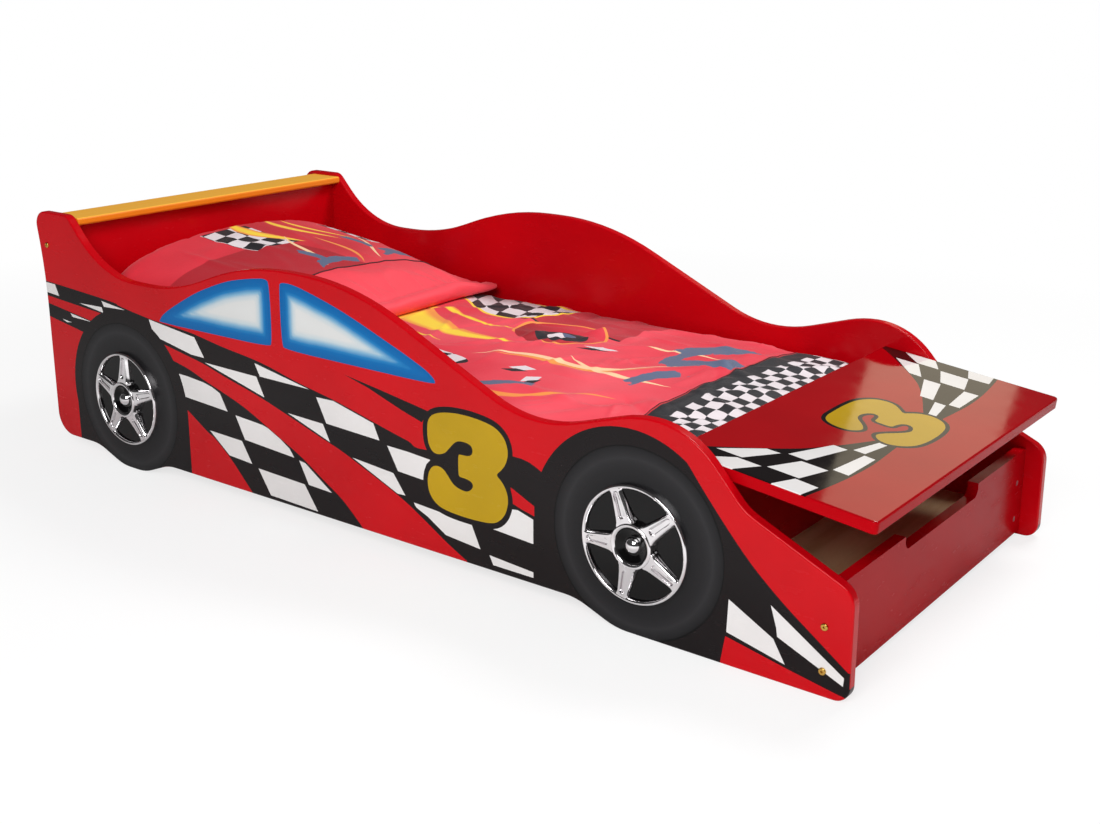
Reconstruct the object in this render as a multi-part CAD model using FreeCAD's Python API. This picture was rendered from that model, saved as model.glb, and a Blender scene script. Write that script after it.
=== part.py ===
import FreeCAD, Part
import math
import os

# Car bed for children: two profiled side panels carry a slatted bed base, a rear shelf with its
# headboard, and a front storage box whose bonnet is a hinged lid.  Millimetres, +X towards the
# front of the car, +Z up, the right-hand side panel at -Y.  Stations along X are measured from
# the rear wheel's centre and shifted to the middle of the bed when the pieces are written.

Vector = FreeCAD.Vector

# ---------------------------------------------------------------- boards and overall sizes
board = 18.0                # lacquered board of the panels
edge_round = 3.0            # rounding of the panels' edges
wheelbase = 1200.0
hub_height = 146.0

# side panel outline
sill_height = 29.0          # underside of the panel between and behind the wheels
rear_edge_x = -243.0
rear_lean = 22.0            # how far the rear edge leans back at the shoulder
rear_lean_start = 290.0     # height where the lean starts
front_edge_ahead = 350.0    # front edge, ahead of the front wheel's centre
shoulder_height = 492.0
shoulder_end_x = -165.0
shoulder_fall_radius = 25.0
valley_height = 383.0
valley_start_x = 45.0
valley_end_x = 75.0
valley_rear_radius = 225.0
valley_front_radius = 480.0
roof_height = 459.5
roof_start_x = 470.0
roof_end_x = 500.0
roof_rear_radius = 570.0
roof_front_radius = 560.0
cowl_height = 300.5
cowl_behind = 180.0         # cowl, behind the front wheel's centre
cowl_rear_radius = 230.0
cowl_front_radius = 240.0
arch_height = 342.5
arch_ahead = 24.0
arch_rear_radius = 200.0
arch_front_radius = 142.0
arch_fall = 48.0            # steepest slope ahead of the arch, in degrees
nose_hollow_radius = 72.0
foot_flat = 26.0            # flat under each printed tyre
foot_run = 118.0            # length of the curve from the sill down to the foot
foot_radius = 115.0
rear_sill_round = 45.0
shoulder_round = 28.0
nose_round = 34.0
toe_round = 24.0

# rear end
shelf_front_x = -142.0
shelf_depth = 84.0
shelf_thickness = 15.0
shelf_below_shoulder = 7.0
shelf_round = 5.0
headboard_setback = 22.0    # headboard face, behind the shelf's front edge
headboard_bottom = 60.0
rear_rail_height = 90.0

# bed bay
mattress_length = 1400.0
mattress_width = 700.0
mattress_gap = 7.0          # all round, to the boards of the bay
mattress_height = 110.0
mattress_round = 22.0
slat_width = 68.0
slat_thickness = 12.0
slat_count = 14
slat_end_gap = 2.0
slat_margin = 14.0          # first slat, ahead of the headboard
rail_width = 28.0
rail_height = 30.0
rail_bottom = 88.0
rail_end_gap = 6.0

# front storage box
bulkhead_bottom = 40.0
front_panel_recess = 32.0   # front panel's face, behind the side panels' front edge
front_panel_bottom = 10.0
front_panel_top = 160.0
notch_width = 280.0
notch_depth = 22.0
notch_round = 14.0
storage_floor_thickness = 12.0
storage_floor_top = 52.0
batten = 20.0

# bonnet: the lid of the storage box
bonnet_length = 320.0
bonnet_side_gap = 3.0
bonnet_corner = 8.0
bonnet_slope_shown = 7.0    # degrees below level, as it stands raised
bonnet_landing_gap = 0.5    # between the closed bonnet and the front panel
bonnet_proud = 3.0          # closed bonnet above the side panels' nose line
bonnet_crest_height = 301.0 # top of its rear edge as it stands raised

# bonnet hinges
hinge_spacing = 440.0
hinge_length = 60.0
hinge_leaf = 1.5
hinge_leaf_height = 32.0
hinge_pin_radius = 2.0
hinge_barrel_radius = 4.0
running_gap = 0.05
knuckle_gap = 0.3
bulkhead_top_gap = 3.0      # closed bonnet above the bulkhead, room for the moving leaves

# bedding
duvet_head_along = 414.0    # its head end, from the headboard
duvet_crown = 43.0          # above the mattress, at its middle
duvet_side = 26.0
duvet_foot_drop = 15.0
duvet_foot_slope = 260.0    # length over which it thins towards the foot
duvet_inset = 4.0           # duvet's side, in from the mattress
duvet_foot_gap = 3.0        # foot end, behind the hinges' barrels
pillow_inset = 15.0         # pillow's side, in from the mattress
pillow_length = 517.0       # from the headboard to its front edge
pillow_below_shelf = 55.0   # crest, below the shelf
pillow_lean = 78.0          # crest, ahead of the pillow's rear
pillow_end_gap = 4.0        # rear, off the headboard
pillow_nose = 27.0          # thickness of the front edge over the duvet
soft_gap = 0.3

# wheel trims
rim_radius = 93.0
rim_ring = 7.0
rim_depth = 9.0
dish_thickness = 2.5
spoke_count = 5
spoke_root = 31.0
spoke_tip = 20.0
spoke_top = 8.5
groove_length = 38.0
groove_width = 9.0
groove_depth = 3.0
hub_ring_radius = 35.5
hub_ring_width = 7.5
hub_depth = 15.0
cup_depth = 10.0
cup_hollow = 5.0
cup_lip = 2.0
dome_radius = 13.5
dome_height = 9.0
trim_gap = 0.3
front_spoke_angle = 41.0
rear_spoke_angle = 88.0

# fasteners
bolt_radius = 3.0
bolt_head_radius = 5.5
bolt_head_height = 3.0
bolt_socket = 2.0
bolt_reach = 42.0           # length of the bolt beyond the side panel
barrel_nut_radius = 5.0
barrel_nut_length = 14.0
nut_depth = 30.0            # barrel nut's axis, in from the side panel
fit_gap = 0.1
front_bolt_heights = (39.0, 105.0)
bulkhead_bolt_spread = 60.0
cam_radius = 7.5
cam_depth = 12.0
cam_inset = 24.0
cam_pin_radius = 3.5
cam_pin_in_panel = 11.0
cam_from_end = 45.0         # outer cams, from the headboard's edges
dowel_radius = 4.0
dowel_in_panel = 12.0
dowel_length = 36.0
dowel_from_end = 30.0
screw_radius = 2.0
screw_head_radius = 4.0
screw_head_height = 2.4
rail_screw_count = 7
rail_screw_end = 80.0
rail_screw_length = 40.0
leaf_screw_length = 13.0
leaf_screw_spread = 40.0
wheel_screw_length = 18.0

# ---------------------------------------------------------------- values worked out from these
inner_y = mattress_width / 2 + mattress_gap
outer_y = inner_y + board
bay_length = mattress_length + 2 * mattress_gap
front_hub_x = wheelbase
front_edge_x = front_hub_x + front_edge_ahead
headboard_face_x = shelf_front_x - headboard_setback
bulkhead_x = headboard_face_x + bay_length
front_face_x = front_edge_x - front_panel_recess
slat_top = rail_bottom + rail_height + slat_thickness
mattress_top = slat_top + mattress_height
shelf_top = shoulder_height - shelf_below_shoulder
shelf_bottom = shelf_top - shelf_thickness
shelf_rear_x = shelf_front_x - shelf_depth
rear_rail_x = shelf_rear_x - board / 2
duvet_head_x = headboard_face_x + duvet_head_along
pillow_front_x = headboard_face_x + pillow_length
pillow_rise = shelf_bottom - pillow_below_shelf - mattress_top

shown = math.radians(bonnet_slope_shown)
hinge_x = bulkhead_x - hinge_barrel_radius
hinge_z = bonnet_crest_height - (hinge_barrel_radius + board) * math.cos(shown)


def closed_slope():
    """Slope of the closed bonnet, in radians: its underside rests on the front panel's edge."""
    dx = front_face_x - hinge_x
    dz = hinge_z - front_panel_top - bonnet_landing_gap
    reach = math.hypot(dx, dz)
    return math.atan2(dz, dx) + math.asin(hinge_barrel_radius / reach)


closed = closed_slope()
bulkhead_top = (hinge_z - bulkhead_top_gap
                - (board + hinge_barrel_radius) * math.tan(closed)
                + hinge_barrel_radius / math.cos(closed))


def nose_height(x):
    """Side panel's nose line, just below the closed bonnet's top face."""
    rise = (hinge_barrel_radius + board) / math.cos(closed)
    return hinge_z + rise - (x - hinge_x) * math.tan(closed) - bonnet_proud


# ---------------------------------------------------------------- shape helpers
def box(x0, x1, y0, y1, z0, z1):
    return Part.makeBox(x1 - x0, y1 - y0, z1 - z0, Vector(x0, y0, z0))


def rod(radius, start, end):
    start = Vector(*start)
    axis = Vector(*end) - start
    return Part.makeCylinder(radius, axis.Length, start, axis)


def mirrored(shape):
    """The same piece on the other side of the bed."""
    return shape.mirror(Vector(0, 0, 0), Vector(0, 1, 0))


def join(shapes):
    first = shapes[0]
    return first.fuse(shapes[1:]).removeSplitter() if len(shapes) > 1 else first


def rounded(shape, radius, chosen):
    """Rounds the edges that the test picks out."""
    edges = [edge for edge in shape.Edges if chosen(edge)]
    return shape.makeFillet(radius, edges)


def lies_on_y(edge, y):
    return all(abs(v.Y - y) < 1e-6 for v in edge.Vertexes)


def along(edge, axis):
    """True for a straight edge that runs along the axis."""
    if not isinstance(edge.Curve, Part.Line):
        return False
    return abs(abs(edge.tangentAt(edge.FirstParameter).dot(axis)) - 1) < 1e-6


def screw(start, direction, length, grow=0.0):
    """Countersunk screw: head flush at start, shank along direction; grow widens it for a hole."""
    head = Part.makeCone(screw_head_radius + grow, screw_radius + grow, screw_head_height,
                         start, direction)
    shank = Part.makeCylinder(screw_radius + grow, length + grow, start, direction)
    return head.fuse(shank).removeSplitter()


# ---------------------------------------------------------------- side panels
def line(start, end):
    return Part.LineSegment(Vector(start[0], 0, start[1]), Vector(end[0], 0, end[1])).toShape()


def arc(start, middle, end):
    return Part.Arc(*[Vector(x, 0, z) for x, z in (start, middle, end)]).toShape()


def level_arc(point, radius, angle, ahead, up):
    """Arc that starts level at a point and turns by angle: its edge and its far end."""
    def at(turned):
        return (point[0] + ahead * radius * math.sin(turned),
                point[1] + up * radius * (1 - math.cos(turned)))

    return arc(point, at(angle / 2), at(angle)), at(angle)


def s_curve(start, end, start_radius, end_radius):
    """Arc, straight stretch and arc from one level point to another at a different height."""
    span = end[0] - start[0]
    rise = end[1] - start[1]
    up = math.copysign(1, rise)
    radii = start_radius + end_radius
    lean = math.atan2(span, radii - abs(rise))
    angle = lean - math.acos(radii / math.hypot(radii - abs(rise), span))
    first, first_end = level_arc(start, start_radius, angle, 1, up)
    last, last_start = level_arc(end, end_radius, angle, -1, -up)
    return [first, line(first_end, last_start), last]


def nose_curve(arch):
    """From the level top of the wheel arch, down to the straight nose line: edges and end."""
    fall = math.radians(arch_fall)
    top, top_end = level_arc(arch, arch_front_radius, fall, 1, -1)
    run = ((top_end[1] - nose_height(top_end[0])) / (math.tan(fall) - math.tan(closed)))
    corner = (top_end[0] + run, top_end[1] - run * math.tan(fall))
    reach = nose_hollow_radius * math.tan((fall - closed) / 2)

    def off_corner(slope, distance):
        return (corner[0] + distance * math.cos(slope), corner[1] - distance * math.sin(slope))

    hollow_start = off_corner(fall, -reach)
    hollow_end = off_corner(closed, reach)
    middle_slope = (fall + closed) / 2
    off_middle = nose_hollow_radius / math.cos((fall - closed) / 2) - nose_hollow_radius
    hollow_middle = (corner[0] + off_middle * math.sin(middle_slope),
                     corner[1] + off_middle * math.cos(middle_slope))
    edges = [top, line(top_end, hollow_start), arc(hollow_start, hollow_middle, hollow_end)]
    return edges, hollow_end


def top_edges():
    """Top contour from the shoulder, over roof, cowl and wheel arch, to the front edge."""
    shoulder = (shoulder_end_x, shoulder_height)
    valley_start = (valley_start_x, valley_height)
    valley_end = (valley_end_x, valley_height)
    roof_start = (roof_start_x, roof_height)
    roof_end = (roof_end_x, roof_height)
    cowl = (front_hub_x - cowl_behind, cowl_height)
    arch = (front_hub_x + arch_ahead, arch_height)
    edges = s_curve(shoulder, valley_start, shoulder_fall_radius, valley_rear_radius)
    edges.append(line(valley_start, valley_end))
    edges += s_curve(valley_end, roof_start, valley_front_radius, roof_rear_radius)
    edges.append(line(roof_start, roof_end))
    edges += s_curve(roof_end, cowl, roof_front_radius, cowl_rear_radius)
    edges += s_curve(cowl, arch, cowl_front_radius, arch_rear_radius)
    nose_edges, nose_end = nose_curve(arch)
    return edges + nose_edges + [line(nose_end, (front_edge_x, nose_height(front_edge_x)))]


def arc_drop(span, drop, at):
    """Height lost at a distance along an arc that starts level and drops by drop over span."""
    radius = (span ** 2 + drop ** 2) / (2 * drop)
    return radius - math.sqrt(radius ** 2 - at ** 2)


def foot_edges(hub_x):
    """Underside round the rear wheel: an S curve down to the floor, a flat, an S curve up."""
    flat = foot_flat / 2
    low_rear, low_front = (hub_x - flat, 0), (hub_x + flat, 0)
    down = s_curve((low_rear[0] - foot_run, sill_height), low_rear, foot_radius, foot_radius)
    up = s_curve(low_front, (low_front[0] + foot_run, sill_height), foot_radius, foot_radius)
    return down, up


def side_outline():
    """Closed outline of a side panel, in the plane Y = 0."""
    half = foot_flat / 2
    rear_down, rear_up = foot_edges(0)
    front_down = foot_edges(front_hub_x)[0]
    sill_rear = (rear_edge_x, sill_height)
    lean_start = (rear_edge_x, rear_lean_start)
    span = shoulder_height - rear_lean_start
    lean_middle = (rear_edge_x - arc_drop(span, rear_lean, span / 2), rear_lean_start + span / 2)
    shoulder = (rear_edge_x - rear_lean, shoulder_height)
    nose_corner = (front_edge_x, nose_height(front_edge_x))
    toe = (front_edge_x, 0)
    edges = [line(sill_rear, (-half - foot_run, sill_height)), *rear_down,
             line((-half, 0), (half, 0)), *rear_up,
             line((half + foot_run, sill_height),
                  (front_hub_x - half - foot_run, sill_height)), *front_down,
             line((front_hub_x - half, 0), toe), line(toe, nose_corner), *top_edges(),
             line((shoulder_end_x, shoulder_height), shoulder),
             arc(shoulder, lean_middle, lean_start), line(lean_start, sill_rear)]
    return Part.Wire(Part.__sortEdges__(edges))


def side_panel():
    """Right-hand side panel: profiled board with rounded corners and edges."""
    face = Part.Face(side_outline())
    panel = face.extrude(Vector(0, board, 0))
    corners = ((rear_edge_x, sill_height, rear_sill_round),
               (rear_edge_x - rear_lean, shoulder_height, shoulder_round),
               (front_edge_x, nose_height(front_edge_x), nose_round),
               (front_edge_x, 0, toe_round))
    for x, z, radius in corners:
        panel = rounded(panel, radius, lambda edge: along(edge, Vector(0, 1, 0)) and
                        math.hypot(edge.Vertexes[0].X - x, edge.Vertexes[0].Z - z) < 0.01)
    panel.translate(Vector(0, -outer_y, 0))
    return rounded(panel, edge_round,
                   lambda edge: lies_on_y(edge, -outer_y) or lies_on_y(edge, -inner_y))


# ---------------------------------------------------------------- cross boards
def cross_board(x0, x1, z0, z1):
    return box(x0, x1, -inner_y, inner_y, z0, z1)


def headboard():
    return cross_board(headboard_face_x - board, headboard_face_x, headboard_bottom, shelf_bottom)


def rear_shelf():
    shelf = cross_board(shelf_rear_x, shelf_front_x, shelf_bottom, shelf_top)
    return rounded(shelf, shelf_round, lambda edge: along(edge, Vector(0, 1, 0)) and
                   abs(edge.Vertexes[0].X - shelf_front_x) < 0.01)


def rear_rail():
    return cross_board(rear_rail_x, rear_rail_x + board, shelf_bottom - rear_rail_height,
                       shelf_bottom)


def bulkhead():
    return cross_board(bulkhead_x, bulkhead_x + board, bulkhead_bottom, bulkhead_top)


def front_panel():
    """Front of the storage box, with a finger notch in the middle of its top edge."""
    panel = cross_board(front_face_x - board, front_face_x, front_panel_bottom, front_panel_top)
    notch = box(front_face_x - 2 * board, front_face_x + board, -notch_width / 2, notch_width / 2,
                front_panel_top - notch_depth, front_panel_top + notch_depth)
    notch = rounded(notch, notch_round, lambda edge: along(edge, Vector(1, 0, 0)) and
                    edge.Vertexes[0].Z < front_panel_top)
    return panel.cut(notch)


def storage_floor():
    return cross_board(bulkhead_x + board, front_face_x - board,
                       storage_floor_top - storage_floor_thickness, storage_floor_top)


def storage_battens():
    """Two battens that carry the storage floor."""
    top = storage_floor_top - storage_floor_thickness
    right = box(bulkhead_x + board, front_face_x - board, -inner_y, -inner_y + batten,
                top - batten, top)
    return [right, mirrored(right)]


# ---------------------------------------------------------------- slatted base
def slat_rail():
    return box(headboard_face_x + rail_end_gap, bulkhead_x - rail_end_gap,
               -inner_y, -inner_y + rail_width, rail_bottom, rail_bottom + rail_height)


def slats():
    first = headboard_face_x + slat_margin
    last = bulkhead_x - slat_margin - slat_width
    pitch = (last - first) / (slat_count - 1)
    half = inner_y - slat_end_gap
    pieces = []
    for index in range(slat_count):
        x = first + index * pitch
        slat = box(x, x + slat_width, -half, half, slat_top - slat_thickness, slat_top)
        pieces.append(rounded(slat, slat_thickness / 4, lambda edge: along(edge, Vector(0, 1, 0))))
    return pieces


def rail_screws(grow=0.0):
    first = headboard_face_x + rail_screw_end
    pitch = (bay_length - 2 * rail_screw_end) / (rail_screw_count - 1)
    height = rail_bottom + rail_height / 2
    return [screw(Vector(first + index * pitch, -inner_y + rail_width, height),
                  Vector(0, -1, 0), rail_screw_length, grow) for index in range(rail_screw_count)]


# ---------------------------------------------------------------- bonnet and hinges
def bonnet_placement():
    """From the level bonnet, hinge line at the origin, to the raised one."""
    return FreeCAD.Placement(Vector(hinge_x, 0, hinge_z),
                             FreeCAD.Rotation(Vector(0, 1, 0), bonnet_slope_shown))


def raised(shape):
    shape = shape.copy()
    shape.Placement = bonnet_placement().multiply(shape.Placement)
    return shape


def bonnet():
    half = inner_y - bonnet_side_gap
    low = hinge_barrel_radius
    lid = box(0, bonnet_length, -half, half, low, low + board)
    lid = rounded(lid, bonnet_corner, lambda edge: along(edge, Vector(0, 0, 1)) and
                  edge.Vertexes[0].X > bonnet_length / 2)
    lid = rounded(lid, edge_round, lambda edge: all(v.Z > low + board / 2 for v in edge.Vertexes))
    for place in leaf_screw_places():
        lid = lid.cut(leaf_screw(place, fit_gap))
    return raised(lid)


def hinge_centres():
    return (-hinge_spacing / 2, hinge_spacing / 2)


def knuckle_length():
    return hinge_length / 3


def barrel(radius, y0, y1):
    """Knuckle round the hinge line, bored for the pin."""
    outer = rod(radius, (0, y0, 0), (0, y1, 0))
    return outer.cut(rod(hinge_pin_radius + running_gap, (0, y0 - 1, 0), (0, y1 + 1, 0)))


def moving_leaf(centre):
    """Leaf under the bonnet with the middle knuckle."""
    half = hinge_length / 2
    middle = knuckle_length() / 2 - knuckle_gap
    inner = hinge_barrel_radius - hinge_leaf
    clear = hinge_barrel_radius + knuckle_gap
    plate = box(clear, hinge_leaf_height, centre - half, centre + half, inner,
                hinge_barrel_radius)
    tab = box(0, clear, centre - middle, centre + middle, inner, hinge_barrel_radius)
    bore = rod(hinge_pin_radius + running_gap, (0, centre - half, 0), (0, centre + half, 0))
    knuckle = barrel(hinge_barrel_radius, centre - middle, centre + middle)
    leaf = join([knuckle, tab, plate]).cut(bore)
    for place in leaf_screw_places():
        if abs(place.y - centre) < half:
            leaf = leaf.cut(leaf_screw(place, 0.02))
    return leaf


def leaf_screw_places():
    """Screws of the moving leaves, in the level bonnet's frame."""
    x = hinge_leaf_height * 0.6
    z = hinge_barrel_radius - hinge_leaf
    return [Vector(x, centre + side * leaf_screw_spread / 2, z)
            for centre in hinge_centres() for side in (-1, 1)]


def leaf_screw(place, grow=0.0):
    return screw(place, Vector(0, 0, 1), leaf_screw_length, grow)


def fixed_leaf(centre):
    """Leaf on the bulkhead's rear face with the two outer knuckles."""
    half = hinge_length / 2
    middle = knuckle_length() / 2
    inner = hinge_barrel_radius - hinge_leaf
    clear = hinge_barrel_radius + knuckle_gap
    bottom = hinge_z - hinge_leaf_height
    parts = [box(hinge_x + inner, hinge_x + hinge_barrel_radius, centre - half, centre + half,
                 bottom, hinge_z - clear)]
    for side in (-1, 1):
        y0, y1 = sorted((centre + side * middle, centre + side * half))
        knuckle = barrel(hinge_barrel_radius - knuckle_gap, y0, y1)
        knuckle.translate(Vector(hinge_x, 0, hinge_z))
        tab = box(hinge_x + inner, hinge_x + hinge_barrel_radius, y0, y1, hinge_z - clear, hinge_z)
        parts += [knuckle, tab]
    bore = rod(hinge_pin_radius + running_gap, (hinge_x, centre - half - 1, hinge_z),
               (hinge_x, centre + half + 1, hinge_z))
    leaf = join(parts).cut(bore)
    for place in fixed_screw_places():
        if abs(place.y - centre) < half:
            leaf = leaf.cut(fixed_screw(place, 0.02))
    return leaf


def fixed_screw_places():
    x = hinge_x + hinge_barrel_radius - hinge_leaf
    z = hinge_z - hinge_leaf_height * 0.6
    return [Vector(x, centre + side * leaf_screw_spread / 2, z)
            for centre in hinge_centres() for side in (-1, 1)]


def fixed_screw(place, grow=0.0):
    return screw(place, Vector(1, 0, 0), leaf_screw_length, grow)


def hinge_pin(centre):
    """Pin with a head at each end that keeps it in the knuckles."""
    half = hinge_length / 2
    pin = rod(hinge_pin_radius, (hinge_x, centre - half, hinge_z),
              (hinge_x, centre + half, hinge_z))
    heads = [rod(hinge_barrel_radius * 0.8, (hinge_x, centre + side * half, hinge_z),
                 (hinge_x, centre + side * (half + hinge_leaf), hinge_z)) for side in (-1, 1)]
    return join([pin] + heads)


# ---------------------------------------------------------------- bolts, nuts, cams and dowels
def bolt_places():
    """(x, z, depth that the head is sunk) of every bolt through a side panel."""
    places = [(front_face_x - board / 2, z, 0.0) for z in front_bolt_heights]
    places.append((rear_rail_x + board / 2, shelf_bottom - rear_rail_height / 2, 0.0))
    sunk = bolt_head_height + fit_gap
    places += [(bulkhead_x + board / 2, hub_height + side * bulkhead_bolt_spread, sunk)
               for side in (-1, 1)]
    return places


def bolt(x, z, sunk):
    """Domed socket-head bolt from the right-hand side, through the panel into a cross board."""
    seat = -outer_y + sunk
    shank = rod(bolt_radius, (x, seat, z), (x, -inner_y + bolt_reach, z))
    head = rod(bolt_head_radius, (x, seat - bolt_head_height, z), (x, seat, z))
    head = rounded(head, bolt_head_height * 0.6, lambda edge: lies_on_y(edge, seat -
                                                                        bolt_head_height))
    socket = Part.makePolygon([Vector(x + bolt_socket * math.cos(math.radians(60 * k)), 0,
                                      z + bolt_socket * math.sin(math.radians(60 * k)))
                               for k in range(7)])
    socket.translate(Vector(0, seat - bolt_head_height, 0))
    socket = Part.Face(socket).extrude(Vector(0, bolt_socket, 0))
    return join([head, shank]).cut(socket)


def bolt_hole(x, z, sunk):
    hole = rod(bolt_radius + fit_gap, (x, -outer_y - 1, z),
               (x, -inner_y + bolt_reach + bolt_radius, z))
    if sunk:
        hole = hole.fuse(rod(bolt_head_radius + fit_gap, (x, -outer_y - 1, z),
                             (x, -outer_y + sunk, z)))
    return hole


def barrel_nut(x, z, grow=0.0):
    """Cross nut in the board, tapped for the bolt."""
    y = -inner_y + nut_depth
    front = x + board / 2 + grow * 10
    nut = rod(barrel_nut_radius + grow, (front - barrel_nut_length - grow * 10, y, z),
              (front, y, z))
    if grow:
        return nut
    return nut.cut(rod(bolt_radius + running_gap, (x, y - 2 * barrel_nut_radius, z),
                       (x, y + 2 * barrel_nut_radius, z)))


def cam_places():
    """(x, z) of the cam fittings that hold the headboard's ends."""
    low = headboard_bottom + cam_from_end
    high = shelf_bottom - cam_from_end
    return [(headboard_face_x - board / 2, z) for z in (low, (low + high) / 2, high)]


def cam_pin(x, z, grow=0.0):
    return rod(cam_pin_radius + grow, (x, -inner_y - cam_pin_in_panel - grow, z),
               (x, -inner_y + cam_inset, z))


def cam_lock(x, z, grow=0.0):
    """Round cam in the headboard's rear face, with the cross bore that takes its pin."""
    y = -inner_y + cam_inset
    rear = x - board / 2
    lock = rod(cam_radius + grow, (rear - grow, y, z), (rear + cam_depth + grow, y, z))
    if grow:
        return lock
    slot = box(rear - 1, rear + 2, y - cam_radius * 0.7, y + cam_radius * 0.7, z - 1, z + 1)
    return lock.cut(cam_pin(x, z, fit_gap)).cut(slot)


def dowel_places():
    """(x, z) of the dowels in the ends of the shelf and the bulkhead."""
    shelf_z = (shelf_top + shelf_bottom) / 2
    places = [(shelf_rear_x + shelf_depth * share, shelf_z) for share in (0.25, 0.75)]
    places += [(bulkhead_x + board / 2, z) for z in (hub_height, bulkhead_top - dowel_from_end)]
    return places


def dowel(x, z, grow=0.0):
    start = -inner_y - dowel_in_panel - grow
    return rod(dowel_radius + grow, (x, start, z), (x, start + dowel_length + 2 * grow, z))


# ---------------------------------------------------------------- wheel trims
def turned(points, hub_x):
    """Solid of revolution round the hub; points are (radius, distance out of the panel)."""
    outline = [Vector(hub_x + r, -outer_y - out, hub_height) for r, out in points]
    outline.append(outline[0])
    face = Part.Face(Part.makePolygon(outline))
    return face.revolve(Vector(hub_x, 0, hub_height), Vector(0, 1, 0), 360)


def spoke(hub_x, angle):
    """One spoke of the rim, tapered outwards, with its pressed groove."""
    inner = hub_ring_radius - hub_ring_width / 2
    outer = rim_radius - rim_ring / 2
    corners = [(inner, -spoke_root / 2), (outer, -spoke_tip / 2), (outer, spoke_tip / 2),
               (inner, spoke_root / 2)]
    base = -outer_y - dish_thickness
    outline = [Vector(hub_x + r, base, hub_height + w) for r, w in corners]
    outline.append(outline[0])
    body = Part.Face(Part.makePolygon(outline)).extrude(Vector(0, dish_thickness - spoke_top, 0))
    middle = (hub_ring_radius + rim_radius - rim_ring) / 2
    groove_y = -outer_y - spoke_top
    groove = box(hub_x + middle - groove_length / 2, hub_x + middle + groove_length / 2,
                 groove_y - 1, groove_y + groove_depth,
                 hub_height - groove_width / 2, hub_height + groove_width / 2)
    groove = rounded(groove, groove_width * 0.35, lambda edge: along(edge, Vector(0, 1, 0)))
    body = body.cut(groove)
    body.rotate(Vector(hub_x, 0, hub_height), Vector(0, -1, 0), angle)
    return body


def wheel_rim(hub_x, angle):
    """Bright rim: outer ring, hub ring and five grooved spokes."""
    ring_in = rim_radius - rim_ring
    bevel = rim_ring * 0.3
    ring = turned([(ring_in, 0), (rim_radius, 0), (rim_radius, rim_depth - bevel),
                   (rim_radius - bevel, rim_depth), (ring_in + bevel, rim_depth),
                   (ring_in, rim_depth - bevel)], hub_x)
    hub_in = hub_ring_radius - hub_ring_width
    lip = hub_ring_width * 0.25
    hub = turned([(hub_in, dish_thickness), (hub_ring_radius, dish_thickness),
                  (hub_ring_radius, hub_depth - lip), (hub_ring_radius - lip, hub_depth),
                  (hub_in + lip, hub_depth), (hub_in, hub_depth - lip)], hub_x)
    spokes = [spoke(hub_x, angle + 360 / spoke_count * k) for k in range(spoke_count)]
    return join([ring, hub] + spokes)


def wheel_dish(hub_x):
    """Dark backing disc inside the rim."""
    edge = rim_radius - rim_ring - trim_gap
    disc = turned([(0, 0), (edge, 0), (edge, dish_thickness), (0, dish_thickness)], hub_x)
    return disc.cut(wheel_screw(hub_x, fit_gap))


def hub_cup(hub_x):
    """Dark cup in the hub ring, hollowed towards the dome."""
    edge = hub_ring_radius - hub_ring_width - trim_gap
    floor = cup_depth - cup_hollow
    cup = turned([(0, dish_thickness), (edge, dish_thickness), (edge, dish_thickness + cup_depth),
                  (edge - cup_lip, dish_thickness + cup_depth),
                  (dome_radius + cup_lip, dish_thickness + floor),
                  (0, dish_thickness + floor)], hub_x)
    return cup.cut(wheel_screw(hub_x, fit_gap))


def hub_dome(hub_x):
    """Bright domed cap over the fixing screw: the cap of a ball."""
    base = outer_y + dish_thickness + cup_depth - cup_hollow
    ball = (dome_radius ** 2 + dome_height ** 2) / (2 * dome_height)
    centre_y = -base - dome_height + ball
    cap = box(hub_x - ball, hub_x + ball, -base - ball, -base,
              hub_height - ball, hub_height + ball)
    return Part.makeSphere(ball, Vector(hub_x, centre_y, hub_height)).common(cap)


def wheel_screw(hub_x, grow=0.0):
    out = outer_y + dish_thickness + cup_depth - cup_hollow
    return screw(Vector(hub_x, -out, hub_height), Vector(0, 1, 0), wheel_screw_length, grow)


# ---------------------------------------------------------------- bedding
def mattress():
    middle = headboard_face_x + bay_length / 2
    pad = box(middle - mattress_length / 2, middle + mattress_length / 2,
              -mattress_width / 2, mattress_width / 2, slat_top, mattress_top)
    return rounded(pad, mattress_round, lambda edge: not lies_on_z(edge, slat_top) and
                   not lies_on_z(edge, mattress_top))


def lies_on_z(edge, z):
    return all(abs(v.Z - z) < 1e-6 for v in edge.Vertexes)


def duvet_section(x, crown, side, half):
    """Cross-section at one station: flat underside, drawn-in sides, crowned top."""
    low = mattress_top
    sag = side * 0.25
    corners = [Vector(x, -half + sag, low), Vector(x, half - sag, low),
               Vector(x, half - sag, low + side), Vector(x, -half + sag, low + side)]
    right_side = Part.Arc(corners[1], Vector(x, half, low + side / 2), corners[2])
    top = Part.Arc(corners[2], Vector(x, 0, low + crown), corners[3])
    left_side = Part.Arc(corners[3], Vector(x, -half, low + side / 2), corners[0])
    return Part.Wire([Part.LineSegment(corners[0], corners[1]).toShape(), right_side.toShape(),
                      top.toShape(), left_side.toShape()])


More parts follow.
